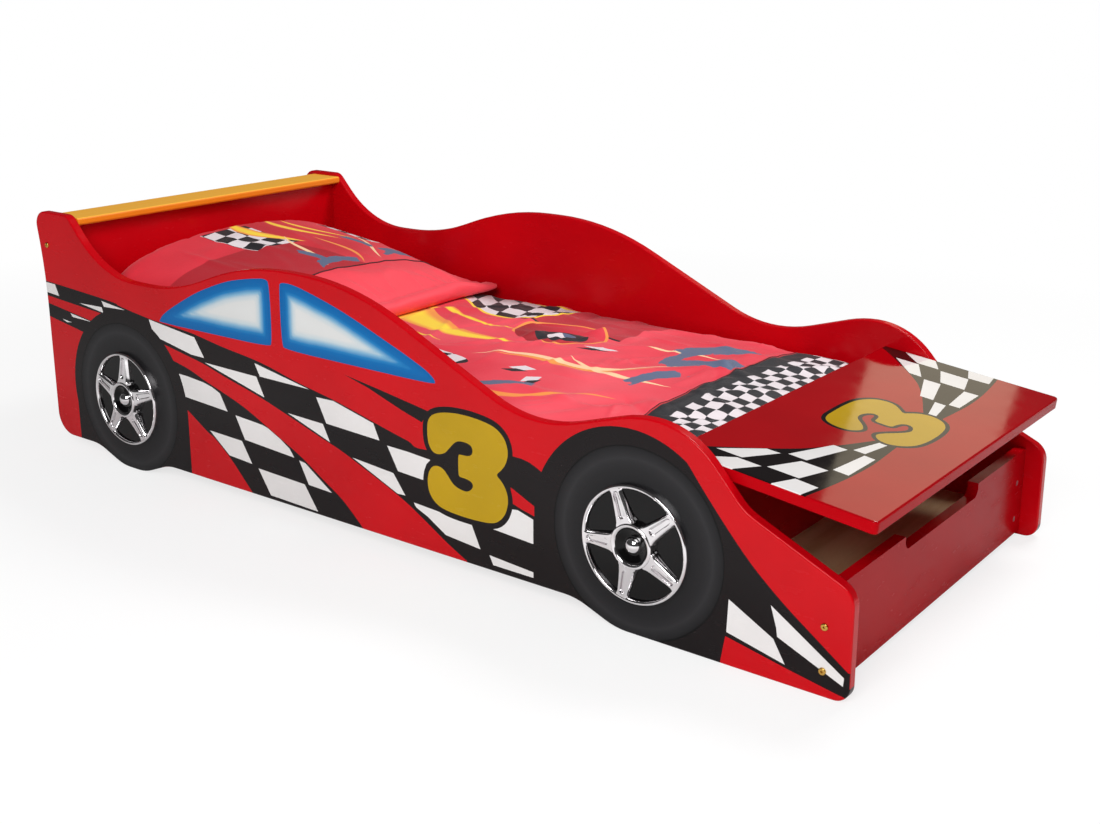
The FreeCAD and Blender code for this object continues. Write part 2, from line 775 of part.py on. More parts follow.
def duvet():
    """Duvet over the mattress, from under the pillow down to the bulkhead."""
    foot_x = hinge_x - hinge_barrel_radius - duvet_foot_gap
    half = mattress_width / 2 - duvet_inset
    low_crown = duvet_crown - duvet_foot_drop
    low_side = duvet_side * 0.7
    fade = duvet_side / 2
    tuck = 3 * duvet_inset
    stations = [(duvet_head_x, duvet_crown * 0.35, duvet_side * 0.3, half - tuck),
                (duvet_head_x + fade, duvet_crown * 0.8, duvet_side * 0.8, half - tuck / 3),
                (duvet_head_x + 3 * fade, duvet_crown, duvet_side, half),
                (foot_x - duvet_foot_slope, duvet_crown, duvet_side, half),
                (foot_x - 5 * fade, low_crown * 1.1, low_side * 1.1, half),
                (foot_x - fade, low_crown * 0.85, low_side * 0.85, half - tuck / 3),
                (foot_x, low_crown * 0.4, low_side * 0.35, half - tuck)]
    return Part.makeLoft([duvet_section(*station) for station in stations], True, True)


def pillow_section(y, fullness):
    """Lengthwise section of the pillow propped on the headboard; fullness 0 to 1."""
    slack = 1 - fullness
    low = mattress_top + soft_gap
    over = mattress_top + duvet_crown + soft_gap
    rear = headboard_face_x + pillow_end_gap + pillow_lean * slack / 3
    nose = pillow_front_x - pillow_lean * slack / 4
    lift = pillow_rise * (0.42 + 0.58 * fullness)
    crest_x = rear + pillow_lean
    step = duvet_head_x - duvet_side / 4
    belly = over + pillow_nose * (0.25 + 0.75 * fullness)
    hump = (belly + low + lift) / 2 + pillow_nose * fullness / 3
    points = [(rear + duvet_side, low), (step - duvet_crown, low),
              (step - duvet_crown / 3, low + duvet_crown / 4), (step, over),
              (nose - pillow_nose / 2, over), (nose, over + pillow_nose * 0.28),
              (nose - pillow_nose, belly), ((crest_x + nose) / 2, hump), (crest_x, low + lift),
              (rear + pillow_lean * 0.28, low + lift * 0.93), (rear, low + lift * 0.6),
              (rear + pillow_lean * 0.04, low + lift * 0.25)]
    at = [Vector(x, y, z) for x, z in points]
    return Part.Wire([Part.LineSegment(at[0], at[1]).toShape(),
                      Part.Arc(at[1], at[2], at[3]).toShape(),
                      Part.LineSegment(at[3], at[4]).toShape(),
                      Part.Arc(at[4], at[5], at[6]).toShape(),
                      Part.Arc(at[6], at[7], at[8]).toShape(),
                      Part.Arc(at[8], at[9], at[10]).toShape(),
                      Part.Arc(at[10], at[11], at[0]).toShape()])


def pillow():
    """Pillow lofted across the bed, slack at its sides and full in the middle."""
    half = mattress_width / 2 - pillow_inset
    right = [(-1.0, 0.0), (-0.91, 0.36), (-0.67, 0.78), (-0.3, 1.0)]
    left = [(-share, full) for share, full in reversed(right)]
    sections = [pillow_section(half * share, full) for share, full in right + left]
    return Part.makeLoft(sections, True, False)


# ---------------------------------------------------------------- assembly
def both_sides(shapes):
    return shapes + [mirrored(shape) for shape in shapes]


def drill(piece, cutters):
    for cutter in cutters:
        piece = piece.cut(cutter)
    return piece


def build():
    """Every piece of the bed: node name to its solids."""
    bolts = bolt_places()
    bolt_holes = [bolt_hole(*place) for place in bolts]
    cam_pin_holes = [cam_pin(x, z, fit_gap) for x, z in cam_places()]
    dowel_holes = [dowel(x, z, fit_gap) for x, z in dowel_places()]
    rail_holes = rail_screws(fit_gap)
    wheels = (("rear", 0.0, rear_spoke_angle), ("front", front_hub_x, front_spoke_angle))
    wheel_holes = [wheel_screw(hub_x, fit_gap) for name, hub_x, angle in wheels]

    panel = drill(side_panel(), bolt_holes + cam_pin_holes + dowel_holes + rail_holes + wheel_holes)
    rail = drill(slat_rail(), rail_holes)
    nut_holes = [barrel_nut(x, z, fit_gap) for x, z, sunk in bolts]
    cross_holes = both_sides(bolt_holes + nut_holes + dowel_holes)
    cam_holes = both_sides([cam_lock(x, z, fit_gap) for x, z in cam_places()] + cam_pin_holes)
    leaf_holes = [fixed_screw(place, fit_gap) for place in fixed_screw_places()]

    pieces = {
        "side_panel_right": [panel],
        "side_panel_left": [mirrored(panel)],
        "headboard": [drill(headboard(), cam_holes)],
        "rear_shelf": [drill(rear_shelf(), both_sides(dowel_holes))],
        "rear_rail": [drill(rear_rail(), cross_holes)],
        "bulkhead": [drill(bulkhead(), cross_holes + leaf_holes)],
        "front_panel": [drill(front_panel(), cross_holes)],
        "storage_floor": [storage_floor()],
        "storage_battens": storage_battens(),
        "slat_rail_right": [rail],
        "slat_rail_left": [mirrored(rail)],
        "slats": slats(),
        "bonnet": [bonnet()],
        "hinge_moving_leaves": [raised(moving_leaf(centre)) for centre in hinge_centres()],
        "hinge_fixed_leaves": [fixed_leaf(centre) for centre in hinge_centres()],
        "hinge_pins": [hinge_pin(centre) for centre in hinge_centres()],
        "bonnet_screws": [raised(leaf_screw(place)) for place in leaf_screw_places()],
        "bulkhead_screws": [fixed_screw(place) for place in fixed_screw_places()],
        "panel_bolts": both_sides([bolt(*place) for place in bolts]),
        "barrel_nuts": both_sides([barrel_nut(x, z) for x, z, sunk in bolts]),
        "cam_pins": both_sides([cam_pin(x, z) for x, z in cam_places()]),
        "cam_locks": both_sides([cam_lock(x, z) for x, z in cam_places()]),
        "dowels": both_sides([dowel(x, z) for x, z in dowel_places()]),
        "rail_screws": both_sides(rail_screws()),
        "wheel_screws": both_sides([wheel_screw(hub_x) for name, hub_x, angle in wheels]),
        "mattress": [mattress()],
        "duvet": [duvet()],
        "pillow": [pillow()],
    }
    for name, hub_x, angle in wheels:
        trims = {"wheel_rim": wheel_rim(hub_x, angle), "wheel_dish": wheel_dish(hub_x),
                 "hub_cup": hub_cup(hub_x), "hub_dome": hub_dome(hub_x)}
        for trim, shape in trims.items():
            pieces[f"{trim}_{name}_right"] = [shape]
            pieces[f"{trim}_{name}_left"] = [mirrored(shape)]
    return pieces


def write(pieces):
    """Writes one STEP file per node, with the origin under the middle of the bed."""
    os.makedirs("parts", exist_ok=True)
    front = pieces["bonnet"][0].optimalBoundingBox(False, False).XMax
    rear = pieces["side_panel_right"][0].optimalBoundingBox(False, False).XMin
    shift = Vector(-(front + rear) / 2, 0, 0)
    print("shift", round(shift.x, 3), "hinge", round(hinge_x + shift.x, 3), round(hinge_z, 3),
          "closed slope", round(math.degrees(closed), 3))
    for name, shapes in pieces.items():
        moved = []
        for shape in shapes:
            shape = shape.copy()
            shape.translate(shift)
            moved.append(shape)
        whole = moved[0] if len(moved) == 1 else Part.makeCompound(moved)
        whole.exportStep(f"parts/{name}.step")


write(build())
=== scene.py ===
import math

import bpy
import numpy as np
from mathutils import Matrix, Vector, geometry, noise
from mathutils.bvhtree import BVHTree

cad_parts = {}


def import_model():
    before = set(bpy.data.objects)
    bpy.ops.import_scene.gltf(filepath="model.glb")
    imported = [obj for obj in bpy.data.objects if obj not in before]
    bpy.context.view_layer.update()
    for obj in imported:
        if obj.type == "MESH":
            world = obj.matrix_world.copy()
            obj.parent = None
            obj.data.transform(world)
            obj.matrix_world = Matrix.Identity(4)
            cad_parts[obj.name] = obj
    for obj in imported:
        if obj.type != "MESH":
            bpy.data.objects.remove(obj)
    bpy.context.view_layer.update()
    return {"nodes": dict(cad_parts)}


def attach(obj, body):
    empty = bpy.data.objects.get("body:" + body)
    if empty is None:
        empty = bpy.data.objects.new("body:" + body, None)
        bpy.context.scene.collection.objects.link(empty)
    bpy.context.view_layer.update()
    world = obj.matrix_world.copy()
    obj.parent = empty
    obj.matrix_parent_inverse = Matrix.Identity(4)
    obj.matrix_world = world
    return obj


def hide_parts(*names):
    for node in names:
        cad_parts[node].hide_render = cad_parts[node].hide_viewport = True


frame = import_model()
nodes = frame["nodes"]

REAR_HUB = -0.653579      # frame x of the rear wheel's centre
FRONT_HUB = 0.546421
HUB_Z = 0.146
TRACE = 0.0009836         # livery tracing units to metres
HINGE = Vector((0.592421, 0.0, 0.279164))
SLOPE = math.radians(7.0)
PANEL_OUT, PANEL_IN = 0.375, 0.357      # the side panels' faces, in y
BOARD_EDGE = 0.003                      # rounding of a board's edges
DUVET_FOOT = 0.585
PILLOW_PIPING = -0.462
CURVE_STEPS = 5           # points to each stretch of a smooth curve
CIRCLE_SIDES = 120
ROUND_STEPS = 5           # strips to a rounded edge
LEVEL_REACH = 2e-5        # how near to a level a point lies in it
STRETCH = 0.02            # longest stretch of a board's edge
SMOOTH_BEND = math.radians(24)          # sides that bend less are shaded as one curve
WELT_SIDES = 8
FLOOR_HALF = 14.0


# ---------------------------------------------------------------- node materials

def linear(rgb):
    """sRGB 0-255 to linear."""
    shares = [c / 255.0 for c in rgb]
    return tuple(c / 12.92 if c <= 0.04045 else ((c + 0.055) / 1.055) ** 2.4 for c in shares) + (1.0,)


def in_linear(shades):
    return [(place, linear(rgb)) for place, rgb in shades]


class Tree:
    """The node tree of a new material or world, with short calls for the nodes that the looks use."""

    def __init__(self, name, kind="materials"):
        self.owner = getattr(bpy.data, kind).new(name)
        self.owner.use_nodes = True
        self.nodes = self.owner.node_tree.nodes
        self.links = self.owner.node_tree.links
        self.shader = self.nodes.get("Principled BSDF")

    def put(self, socket, value):
        """Links an output or a number of the tree to the input, or sets a constant on it."""
        value = getattr(value, "socket", value)
        if hasattr(value, "is_output"):
            self.links.new(value, socket)
        else:
            socket.default_value = value

    def put_all(self, node, values):
        for name, value in values.items():
            self.put(node.inputs[name.replace("_", " ")], value)
        return node

    def set(self, **values):
        """Fills inputs of the material's shader, and gives the material."""
        self.put_all(self.shader, values)
        return self.owner

    def node(self, kind, **values):
        return self.put_all(self.nodes.new("ShaderNode" + kind), values)

    def coords(self, kind="Object"):
        return self.node("TexCoord").outputs[kind]

    def scaled(self, vector, scale, offset=(0, 0, 0)):
        return self.node("Mapping", Vector=vector, Scale=scale, Location=offset).outputs["Vector"]

    def noise(self, vector, scale, detail=3.0, roughness=0.5):
        node = self.node("TexNoise", Vector=vector, Scale=scale, Detail=detail, Roughness=roughness)
        return E(self, node.outputs["Fac"])

    def wave(self, vector, scale, direction, distortion=0.0, detail=2.0):
        node = self.node("TexWave", Vector=vector, Scale=scale, Distortion=distortion, Detail=detail)
        node.bands_direction = direction
        return E(self, node.outputs["Fac"])

    def remap(self, value, low, high, from_low=0.0, from_high=1.0):
        node = self.node("MapRange", Value=value, From_Min=from_low, From_Max=from_high, To_Min=low,
                         To_Max=high)
        return E(self, node.outputs["Result"])

    def ramp(self, value, stops):
        node = self.node("ValToRGB", Fac=value)
        elements = node.color_ramp.elements
        while len(elements) < len(stops):
            elements.new(0.5)
        for element, (place, colour) in zip(elements, stops):
            element.position = place
            element.color = colour
        return node.outputs["Color"]

    def mix(self, factor, a, b):
        node = self.nodes.new("ShaderNodeMix")
        node.data_type = "RGBA"
        for place, value in ((0, factor), (6, a), (7, b)):
            self.put(node.inputs[place], value)
        return node.outputs[2]

    def clouded(self, cloud, deep, pale, low=0.3, high=0.7):
        """A colour from deep to pale, as the cloud goes from low to high."""
        return self.mix(self.remap(cloud, 0.0, 1.0, low, high), deep, pale)

    def bump(self, height, strength, distance, normal=None):
        node = self.node("Bump", Height=height, Strength=strength, Distance=distance)
        if normal is not None:
            self.put(node.inputs["Normal"], normal)
        return node.outputs["Normal"]

    def attribute(self, name):
        node = self.nodes.new("ShaderNodeAttribute")
        node.attribute_name = name
        return E(self, node.outputs["Fac"])

    def split(self, vector):
        return [E(self, socket) for socket in self.node("SeparateXYZ", Vector=vector).outputs]


def worked(operation, flipped=False):
    """A method that puts a math node of that operation on its values."""
    def method(*values):
        tree = values[0].tree
        node = tree.nodes.new("ShaderNodeMath")
        node.operation = operation
        for socket, value in zip(node.inputs, values[::-1] if flipped else values):
            tree.put(socket, value)
        return E(tree, node.outputs[0])
    return method


class E:
    """A number in a node tree, so that a pattern reads as an expression."""

    __add__ = __radd__ = worked("ADD")
    __sub__ = worked("SUBTRACT")
    __rsub__ = worked("SUBTRACT", flipped=True)
    __mul__ = __rmul__ = worked("MULTIPLY")
    __truediv__ = worked("DIVIDE")
    sin = worked("SINE")
    abs = worked("ABSOLUTE")
    sqrt = worked("SQRT")
    frac = worked("FRACT")
    min = worked("MINIMUM")
    max = worked("MAXIMUM")

    def __init__(self, tree, socket):
        self.tree = tree
        self.socket = socket

    def over(self, edge, soft=0.0012):
        """1 where the number is above edge, 0 below, over a soft step."""
        node = self.tree.node("MapRange", Value=self, From_Min=edge - soft / 2, From_Max=edge + soft / 2)
        node.interpolation_type = "SMOOTHSTEP"
        return E(self.tree, node.outputs["Result"])

    def under(self, edge, soft=0.0012):
        return 1.0 - self.over(edge, soft)

    def between(self, low, high, soft=0.0012):
        return self.over(low, soft) * self.under(high, soft)


RED = linear((196, 2, 16))
BLACK = linear((22, 16, 17))
WHITE = linear((226, 223, 222))
GOLD = linear((184, 148, 18))


def darker(colour, share):
    return tuple(c * share for c in colour[:3]) + (1.0,)


def lacquer(name, colour, depth=0.88, rough=(0.18, 0.28), gloss=0.16):
    """Sprayed and polished paint: faint clouding, orange peel and handling marks in the gloss."""
    t = Tree(name)
    at = t.coords()
    marks = t.noise(t.scaled(at, (1.0, 1.0, 3.0)), 22.0, 5.0, 0.6)
    return t.set(
        Base_Color=t.clouded(t.noise(at, 5.0, 4.0, 0.55), darker(colour, depth), colour, 0.35, 0.65),
        Roughness=t.remap(marks, *rough, 0.35, 0.65), Specular_IOR_Level=gloss,
        Normal=t.bump(t.noise(at, 150.0, 2.0), 0.006, 0.0004))


def window_paint(name):
    """Airbrushed glass: blue at the rim, fading to a whitish grey inside."""
    t = Tree(name)
    at = t.coords()
    blotch = t.noise(at, 14.0)
    inward = t.attribute("inward") + (blotch - 0.5) * 0.006
    shades = ((0.0, (0, 90, 156)), (0.26, (0, 100, 166)), (0.36, (34, 122, 180)), (0.48, (122, 170, 200)),
              (0.60, (190, 203, 209)), (0.75, (212, 213, 212)), (1.0, (214, 215, 214)))
    return t.set(Base_Color=t.ramp(t.remap(inward, 0.0, 1.0, 0.0, 0.054), in_linear(shades)),
                 Roughness=t.remap(blotch, 0.18, 0.28), Specular_IOR_Level=0.16,
                 Normal=t.bump(t.noise(at, 150.0), 0.012, 0.0004))


def tyre_paint(name, hub_x):
    """Charcoal tyre, printed: a lighter soft band near its shoulder and a dark line at its edge."""
    t = Tree(name)
    at = t.coords()
    x, _, z = t.split(at)
    radius = ((x - hub_x) * (x - hub_x) + (z - HUB_Z) * (z - HUB_Z)).sqrt()
    grain = t.noise(at, 90.0, 4.0, 0.6)
    wobbling = radius + (t.noise(at, 9.0) - 0.5) * 0.004
    shades = ((0.0, (26, 26, 27)), (0.25, (28, 27, 29)), (0.45, (32, 31, 33)), (0.60, (38, 37, 39)),
              (0.68, (44, 43, 45)), (0.76, (38, 37, 39)), (0.9, (28, 27, 29)), (0.935, (24, 23, 25)),
              (0.945, (2, 2, 2)), (1.0, (2, 2, 2)))
    colour = t.ramp(t.remap(wobbling, 0.0, 1.0, 0.085, 0.153), in_linear(shades))
    return t.set(Base_Color=t.mix(t.remap(grain, 0.0, 0.12), colour, linear((18, 18, 19))),
                 Roughness=t.remap(grain, 0.28, 0.4), Specular_IOR_Level=0.16,
                 Normal=t.bump(t.noise(at, 380.0), 0.05, 0.0006))


def wood(name, light, dark, along=(0.6, 7.0, 7.0), scale=9.0):
    """Bare boards with the grain running along x, or as along says."""
    t = Tree(name)
    at = t.coords()
    light, dark = linear(light), linear(dark)
    rings = t.wave(t.scaled(at, along), scale, "Z", 5.0, 3.0)
    pores = t.noise(t.scaled(at, tuple(a * 14.0 for a in along)), 9.0, 4.0, 0.6)
    grain = rings * 0.65 + pores * 0.35
    middle = tuple((p + q) / 2 for p, q in zip(light, dark))
    return t.set(Base_Color=t.ramp(grain, [(0.15, light), (0.55, middle), (0.95, dark)]),
                 Roughness=t.remap(pores, 0.45, 0.6, 0.3, 0.7), Coat_Weight=0.05, Coat_Roughness=0.1,
                 Normal=t.bump(grain, 0.12, 0.0008))


def stain_with_painted_shade(name, pale, deep, edge):
    """Yellow stain on a pale board, with a whisper of grain along y. The upright faces take the deeper edge
    colour as painted shade, and the top stays pale.
    """
    t = Tree(name)
    grain = t.noise(t.scaled(t.coords(), (30.0, 1.4, 30.0)), 5.0, 4.0, 0.55)
    # Painted shade: faces that point neither up nor down take the deeper edge colour.
    flat = t.split(t.coords("Normal"))[2].abs().over(0.7, 0.3)
    colour = t.mix(t.remap(grain, 0.0, 0.45, 0.3, 0.7), linear(pale), linear(deep))
    return t.set(Base_Color=t.mix(flat, linear(edge), colour), Specular_IOR_Level=0.15,
                 Roughness=t.remap(grain, 0.32, 0.44, 0.3, 0.7), Normal=t.bump(grain, 0.08, 0.0006))


def metal(name, colour, rough, stretch=(1, 1, 1), bump=0.04):
    """Plate or cast metal, with fine streaks drawn out as stretch says."""
    t = Tree(name)
    at = t.coords()
    colour = linear(colour)
    streak = t.noise(t.scaled(at, stretch), 160.0, 4.0, 0.6)
    return t.set(Base_Color=t.clouded(t.noise(at, 26.0), darker(colour, 0.86), colour), Metallic=1.0,
                 Roughness=t.remap(streak, *rough, 0.3, 0.7), Normal=t.bump(streak, bump, 0.0003))


def plastic(name, colour):
    """Glossy moulded plastic."""
    t = Tree(name)
    at = t.coords()
    colour = linear(colour)
    return t.set(Base_Color=t.clouded(t.noise(at, 18.0, 4.0), darker(colour, 0.75), colour),
                 Roughness=t.remap(t.noise(at, 60.0), 0.1, 0.2, 0.3, 0.7), Specular_IOR_Level=0.2,
                 Normal=t.bump(t.noise(at, 300.0, 2.0), 0.03, 0.0002))


def weave(t, at, pitch):
    """Height of a plain weave of that pitch, in metres, lying flat."""
    return t.wave(at, 0.314 / pitch, "X") * 0.5 + t.wave(at, 0.314 / pitch, "Y") * 0.5


red_paint = lacquer("red_lacquer", RED)
LID_POLISH = {"gloss": 0.4, "rough": (0.05, 0.1)}
# The lid's red is the side's red made darker, as painted shade, and the red on its edge walls is darker
# too: painted shade.
lid_red_painted_shade = lacquer("red_lid_painted_shade_lacquer", darker(RED, 0.66), **LID_POLISH)
lid_edge_painted_shade = lacquer("red_lid_edge_lacquer", darker(RED, 0.8), gloss=0.03)
# The front panel's red is the side's red made darker: painted shade.
front_red_painted_shade = lacquer("red_front_painted_shade_lacquer", darker(RED, 0.8), gloss=0.04)
lid_black = lacquer("black_lid_lacquer", BLACK, 0.8, **LID_POLISH)
lid_white = lacquer("white_lid_lacquer", WHITE, 0.93, **LID_POLISH)
lid_gold = lacquer("gold_lid_lacquer", GOLD, 0.86, **LID_POLISH)
black_paint = lacquer("black_lacquer", BLACK, 0.8)
white_paint = lacquer("white_lacquer", WHITE, 0.93)
gold_paint = lacquer("gold_lacquer", GOLD, 0.86)
window = window_paint("airbrushed_window")
# Its last colour is painted shade for the shelf's upright faces.
shelf_paint = stain_with_painted_shade("shelf_yellow", (255, 192, 74), (254, 168, 42), (236, 130, 26))
pine = wood("pine", (226, 190, 138), (186, 138, 84))
pine_across = wood("pine_across", (228, 194, 144), (190, 144, 90), (7.0, 0.6, 7.0))
birch_ply = wood("birch_ply", (206, 178, 136), (176, 142, 98), (5.0, 0.5, 5.0), 5.0)
zinc = metal("zinc_plate", (178, 180, 184), (0.28, 0.45), (1, 6, 1), 0.05)
brass = metal("brass", (214, 170, 84), (0.14, 0.3))
chrome = metal("chrome_trim", (234, 231, 233), (0.06, 0.14), bump=0.01)
gloss_black = plastic("gloss_black", (9, 8, 9))

SLOT_FINISH = {
    "panel_lacquer": red_paint,
    "shelf_lacquer": shelf_paint,
    "plain_wood": pine,
    "zinc_steel": zinc,
    "brass_bolts": brass,
    "rim_chrome": chrome,
    "dish_plastic": gloss_black,
}
NODE_FINISH = {
    # darker red: painted shade on the front panel
    "front_panel": front_red_painted_shade,
    "slats": pine_across,
    "storage_floor": birch_ply,
    "storage_battens": pine_across,
}

for name, node in nodes.items():
    for i, material in enumerate(node.data.materials):
        slot_name = material.name.split(".")[0] if material else ""
        finish = NODE_FINISH.get(name) or SLOT_FINISH.get(slot_name)
        if finish is not None:
            node.data.materials[i] = finish


# ---------------------------------------------------------------- painted boards

def loop_at(points, edges, level):
    """The mesh's widest closed outline at that height, as a list of (a, b), counter-clockwise."""
    chosen = {}
    for i, (a, b, h) in enumerate(points):
        if abs(h - level) < LEVEL_REACH:
            chosen[i] = (round(a, 6), round(b, 6))
    joined = {}
    for i, j in edges:
        if i in chosen and j in chosen and chosen[i] != chosen[j]:
            joined.setdefault(chosen[i], set()).add(chosen[j])
            joined.setdefault(chosen[j], set()).add(chosen[i])
    loops = []
    left = {p for p, q in joined.items() if len(q) == 2}
    while left:
        path = [min(left)]
        while path[-1] in left:
            left.discard(path[-1])
            path.extend(sorted(p for p in joined[path[-1]] if p in left)[:1])
        loops.append(path)
    outline = max(loops, key=lambda path: max(p[0] for p in path) - min(p[0] for p in path))
    return outline[::-1] if area(outline) < 0 else outline


def pairs(path):
    """Each item of the closed path with the one after it."""
    return zip(path, path[1:] + path[:1])


def area(path):
    return 0.5 * sum(a[0] * b[1] - b[0] * a[1] for a, b in pairs(path))


def smooth(path):
    """A Catmull-Rom curve through the points of the open path."""
    ends = [path[0], *path, path[-1]]
    out = []
    for quad in zip(ends, ends[1:], ends[2:], ends[3:]):
        p0, p1, p2, p3 = (Vector(p) for p in quad)
        for step in range(CURVE_STEPS):
            t = step / CURVE_STEPS
            q = 0.5 * (2 * p1 + (p2 - p0) * t + (2 * p0 - 5 * p1 + 4 * p2 - p3) * t * t
                       + (3 * p1 - p0 - 3 * p2 + p3) * t ** 3)
            out.append((q.x, q.y))
    return out + [tuple(path[-1])]


def softened(path):
    """The closed path with its corners cut twice."""
    for _ in range(2):
        path = [(a[0] * share + b[0] * (1 - share), a[1] * share + b[1] * (1 - share))
                for a, b in pairs(path) for share in (0.75, 0.25)]
    return path


def swollen(path, by):
    """The closed path moved outwards by that much."""
    if area(path) < 0:
        path = path[::-1]
    out = []
    for a, b, c in zip(path[-1:] + path, path, path[1:] + path[:1]):
        n = Vector((c[1] - a[1], a[0] - c[0])).normalized()
        out.append((b[0] + n.x * by, b[1] + n.y * by))
    return out


def circle(x, y, radius):
    turns = [math.tau * i / CIRCLE_SIDES for i in range(CIRCLE_SIDES)]
    return [(x + radius * math.cos(turn), y + radius * math.sin(turn)) for turn in turns]


def inside(points, path):
    """Which of the points lie in the closed path."""
    x, y = points[:, 0], points[:, 1]
    hit = np.zeros(len(points), bool)
    for (x0, y0), (x1, y1) in pairs(path):
        if y0 == y1:
            continue
        crosses = ((y0 > y) != (y1 > y)) & (x < (x1 - x0) * (y - y0) / (y1 - y0) + x0)
        hit ^= crosses
    return hit


def distance(points, path):
    """Distance of the points from the closed path."""
    best = np.full(len(points), 1e9)
    for a, b in pairs(path):
        a, b = np.array(a), np.array(b)
        d = b - a
        t = np.clip(((points - a) @ d) / max(d @ d, 1e-18), 0, 1)
        best = np.minimum(best, np.linalg.norm(points - (a + t[:, None] * d), axis=1))
    return best


def linked(name, data):
    """A new object in the scene."""
    made = bpy.data.objects.new(name, data)
    bpy.context.scene.collection.objects.link(made)
    return made


def smooth_mesh(name, points, faces, materials):
    mesh = bpy.data.meshes.new(name)
    mesh.from_pydata(points, [], faces)
    mesh.polygons.foreach_set("use_smooth", [True] * len(faces))
    for material in materials:
        mesh.materials.append(material)
    return mesh


class Shell:
    """A mesh whose faces carry their own normals and finishes."""

    def __init__(self):
        self.points = []
        self.index = {}
        self.faces = []
        self.normals = []
        self.finishes = []

    def point(self, p):
        key = tuple(round(c, 6) for c in p)
        if key not in self.index:
            self.index[key] = len(self.points)
            self.points.append(key)
        return self.index[key]

    def face(self, corners, normals, finish):
        """Adds a face, turned so that it looks the way of its normals, unless it has no area."""
        ids = [self.point(p) for p in corners]
        kept = [k for k in range(len(ids)) if ids[k] != ids[k - 1]]
        if len(kept) < 3 or len(set(ids[k] for k in kept)) < len(kept):
            return
        ids = [ids[k] for k in kept]
        normals = [normals[k] for k in kept]
        corners = [Vector(self.points[i]) for i in ids]
        facing = sum((a.cross(b) for a, b in pairs(corners)), Vector((0, 0, 0)))
        if facing.length < 1e-12:
            return
        if facing.dot(sum(normals, Vector((0, 0, 0)))) < 0:
            ids.reverse()
            normals.reverse()
        self.faces.append(ids)
        self.normals.extend(normals)
        self.finishes.append(finish)

    def make(self, name, materials, attribute):
        mesh = smooth_mesh(name, self.points, self.faces, materials)
        mesh.polygons.foreach_set("material_index", self.finishes)
        mesh.normals_split_custom_set([tuple(n) for n in self.normals])
        if attribute is not None:
            label, values = attribute
            layer = mesh.attributes.new(label, "FLOAT", "POINT")
            layer.data.foreach_set("value", values(np.array(self.points)).astype(np.float32))
        mesh.update()
        return linked(name, mesh)


def corners_of(outline):
    """For each corner: its place, its way inwards, and the normals of the sides before and after it."""
    sides = [Vector((b[0] - a[0], b[1] - a[1])).normalized() for a, b in pairs(outline)]
    corners = []
    for i, place in enumerate(outline):
        before, after = sides[i - 1], sides[i]
        n0, n1 = Vector((before.y, -before.x)), Vector((after.y, -after.x))
        bend = n0.dot(n1)
        inward = -(n0 + n1) / max(1.0 + bend, 0.2)
        if bend > math.cos(SMOOTH_BEND):
            n0 = n1 = (n0 + n1).normalized()
        corners.append((Vector(place), inward, n0, n1))
    return corners


def crossings(a, b, paths):
    """Where the closed paths cross the line from a to b, as shares of its length."""
    found = set()
    low_x, high_x = min(a.x, b.x) - 1e-6, max(a.x, b.x) + 1e-6
    low_y, high_y = min(a.y, b.y) - 1e-6, max(a.y, b.y) + 1e-6
    for path in paths:
        for c, d in pairs(path):
            if max(c[0], d[0]) < low_x or min(c[0], d[0]) > high_x:
                continue
            if max(c[1], d[1]) < low_y or min(c[1], d[1]) > high_y:
                continue
            u, v, w = b - a, Vector(d) - Vector(c), Vector(c) - a
            cross = u.x * v.y - u.y * v.x
            if abs(cross) < 1e-14:
                continue
            t = (w.x * v.y - w.y * v.x) / cross
            s = (w.x * u.y - w.y * u.x) / cross
            if 1e-4 < t < 1 - 1e-4 and 0 <= s <= 1:
                found.add(t)
    return found


def cut_ring(outline, edge, paths):
    """The outline in short stretches that end where the paths cross it. Each has its first point, the way
    inwards from there, and the normals at its two ends."""
    corners = corners_of(outline)
    ring = []
    for (p, m, _, start), (q, k, end, _) in pairs(corners):
        pieces = max(1, int((q - p).length / STRETCH))
        cuts = {s / pieces for s in range(pieces)} | crossings(p + m * edge, q + k * edge, paths)
        cuts = sorted(cuts)
        for t0, t1 in zip(cuts, cuts[1:] + [1.0]):
            if t1 - t0 >= 1e-5:
                ring.append((p.lerp(q, t0), m.lerp(k, t0), start.lerp(end, t0).normalized(),
                             start.lerp(end, t1).normalized()))
    return ring


def face_triangles(face_ring, livery, extra):
    """Points and triangles of the board's face, with edges along the livery's paths."""
    flat = [tuple(p) for p in face_ring]
    edges = []
    for path in [flat[:]] + [path for path, _, _ in livery]:
        start = len(edges)
        flat[start:] = path
        edges.extend((start + i, start + (i + 1) % len(path)) for i in range(len(path)))
    cut = geometry.delaunay_2d_cdt([Vector(p) for p in flat + list(extra)], edges, [], 0, 1e-6, False)
    points = np.array([tuple(v) for v in cut[0]])
    triangles = np.array([f for f in cut[2] if len(f) == 3])
    centres = points[triangles].mean(axis=1)
    keep = inside(centres, [tuple(p) for p in face_ring])
    return points, triangles[keep], centres[keep]


def finishes_at(places, livery):
    found = np.zeros(len(places), int)
    for path, number, mask in livery:
        found[mask(places) if mask else inside(places, path)] = number
    return found


def rounded_edge(level, step, size, lean_way):
    """Inset, height and lean of the lines along a rounded edge, from the wall to the face at that level."""
    leans = [math.pi / 2 * k / ROUND_STEPS for k in range(ROUND_STEPS + 1)]
    return [(size * (1 - math.cos(lean)), level + step * size * (1 - math.sin(lean)), lean_way * lean)
            for lean in leans]


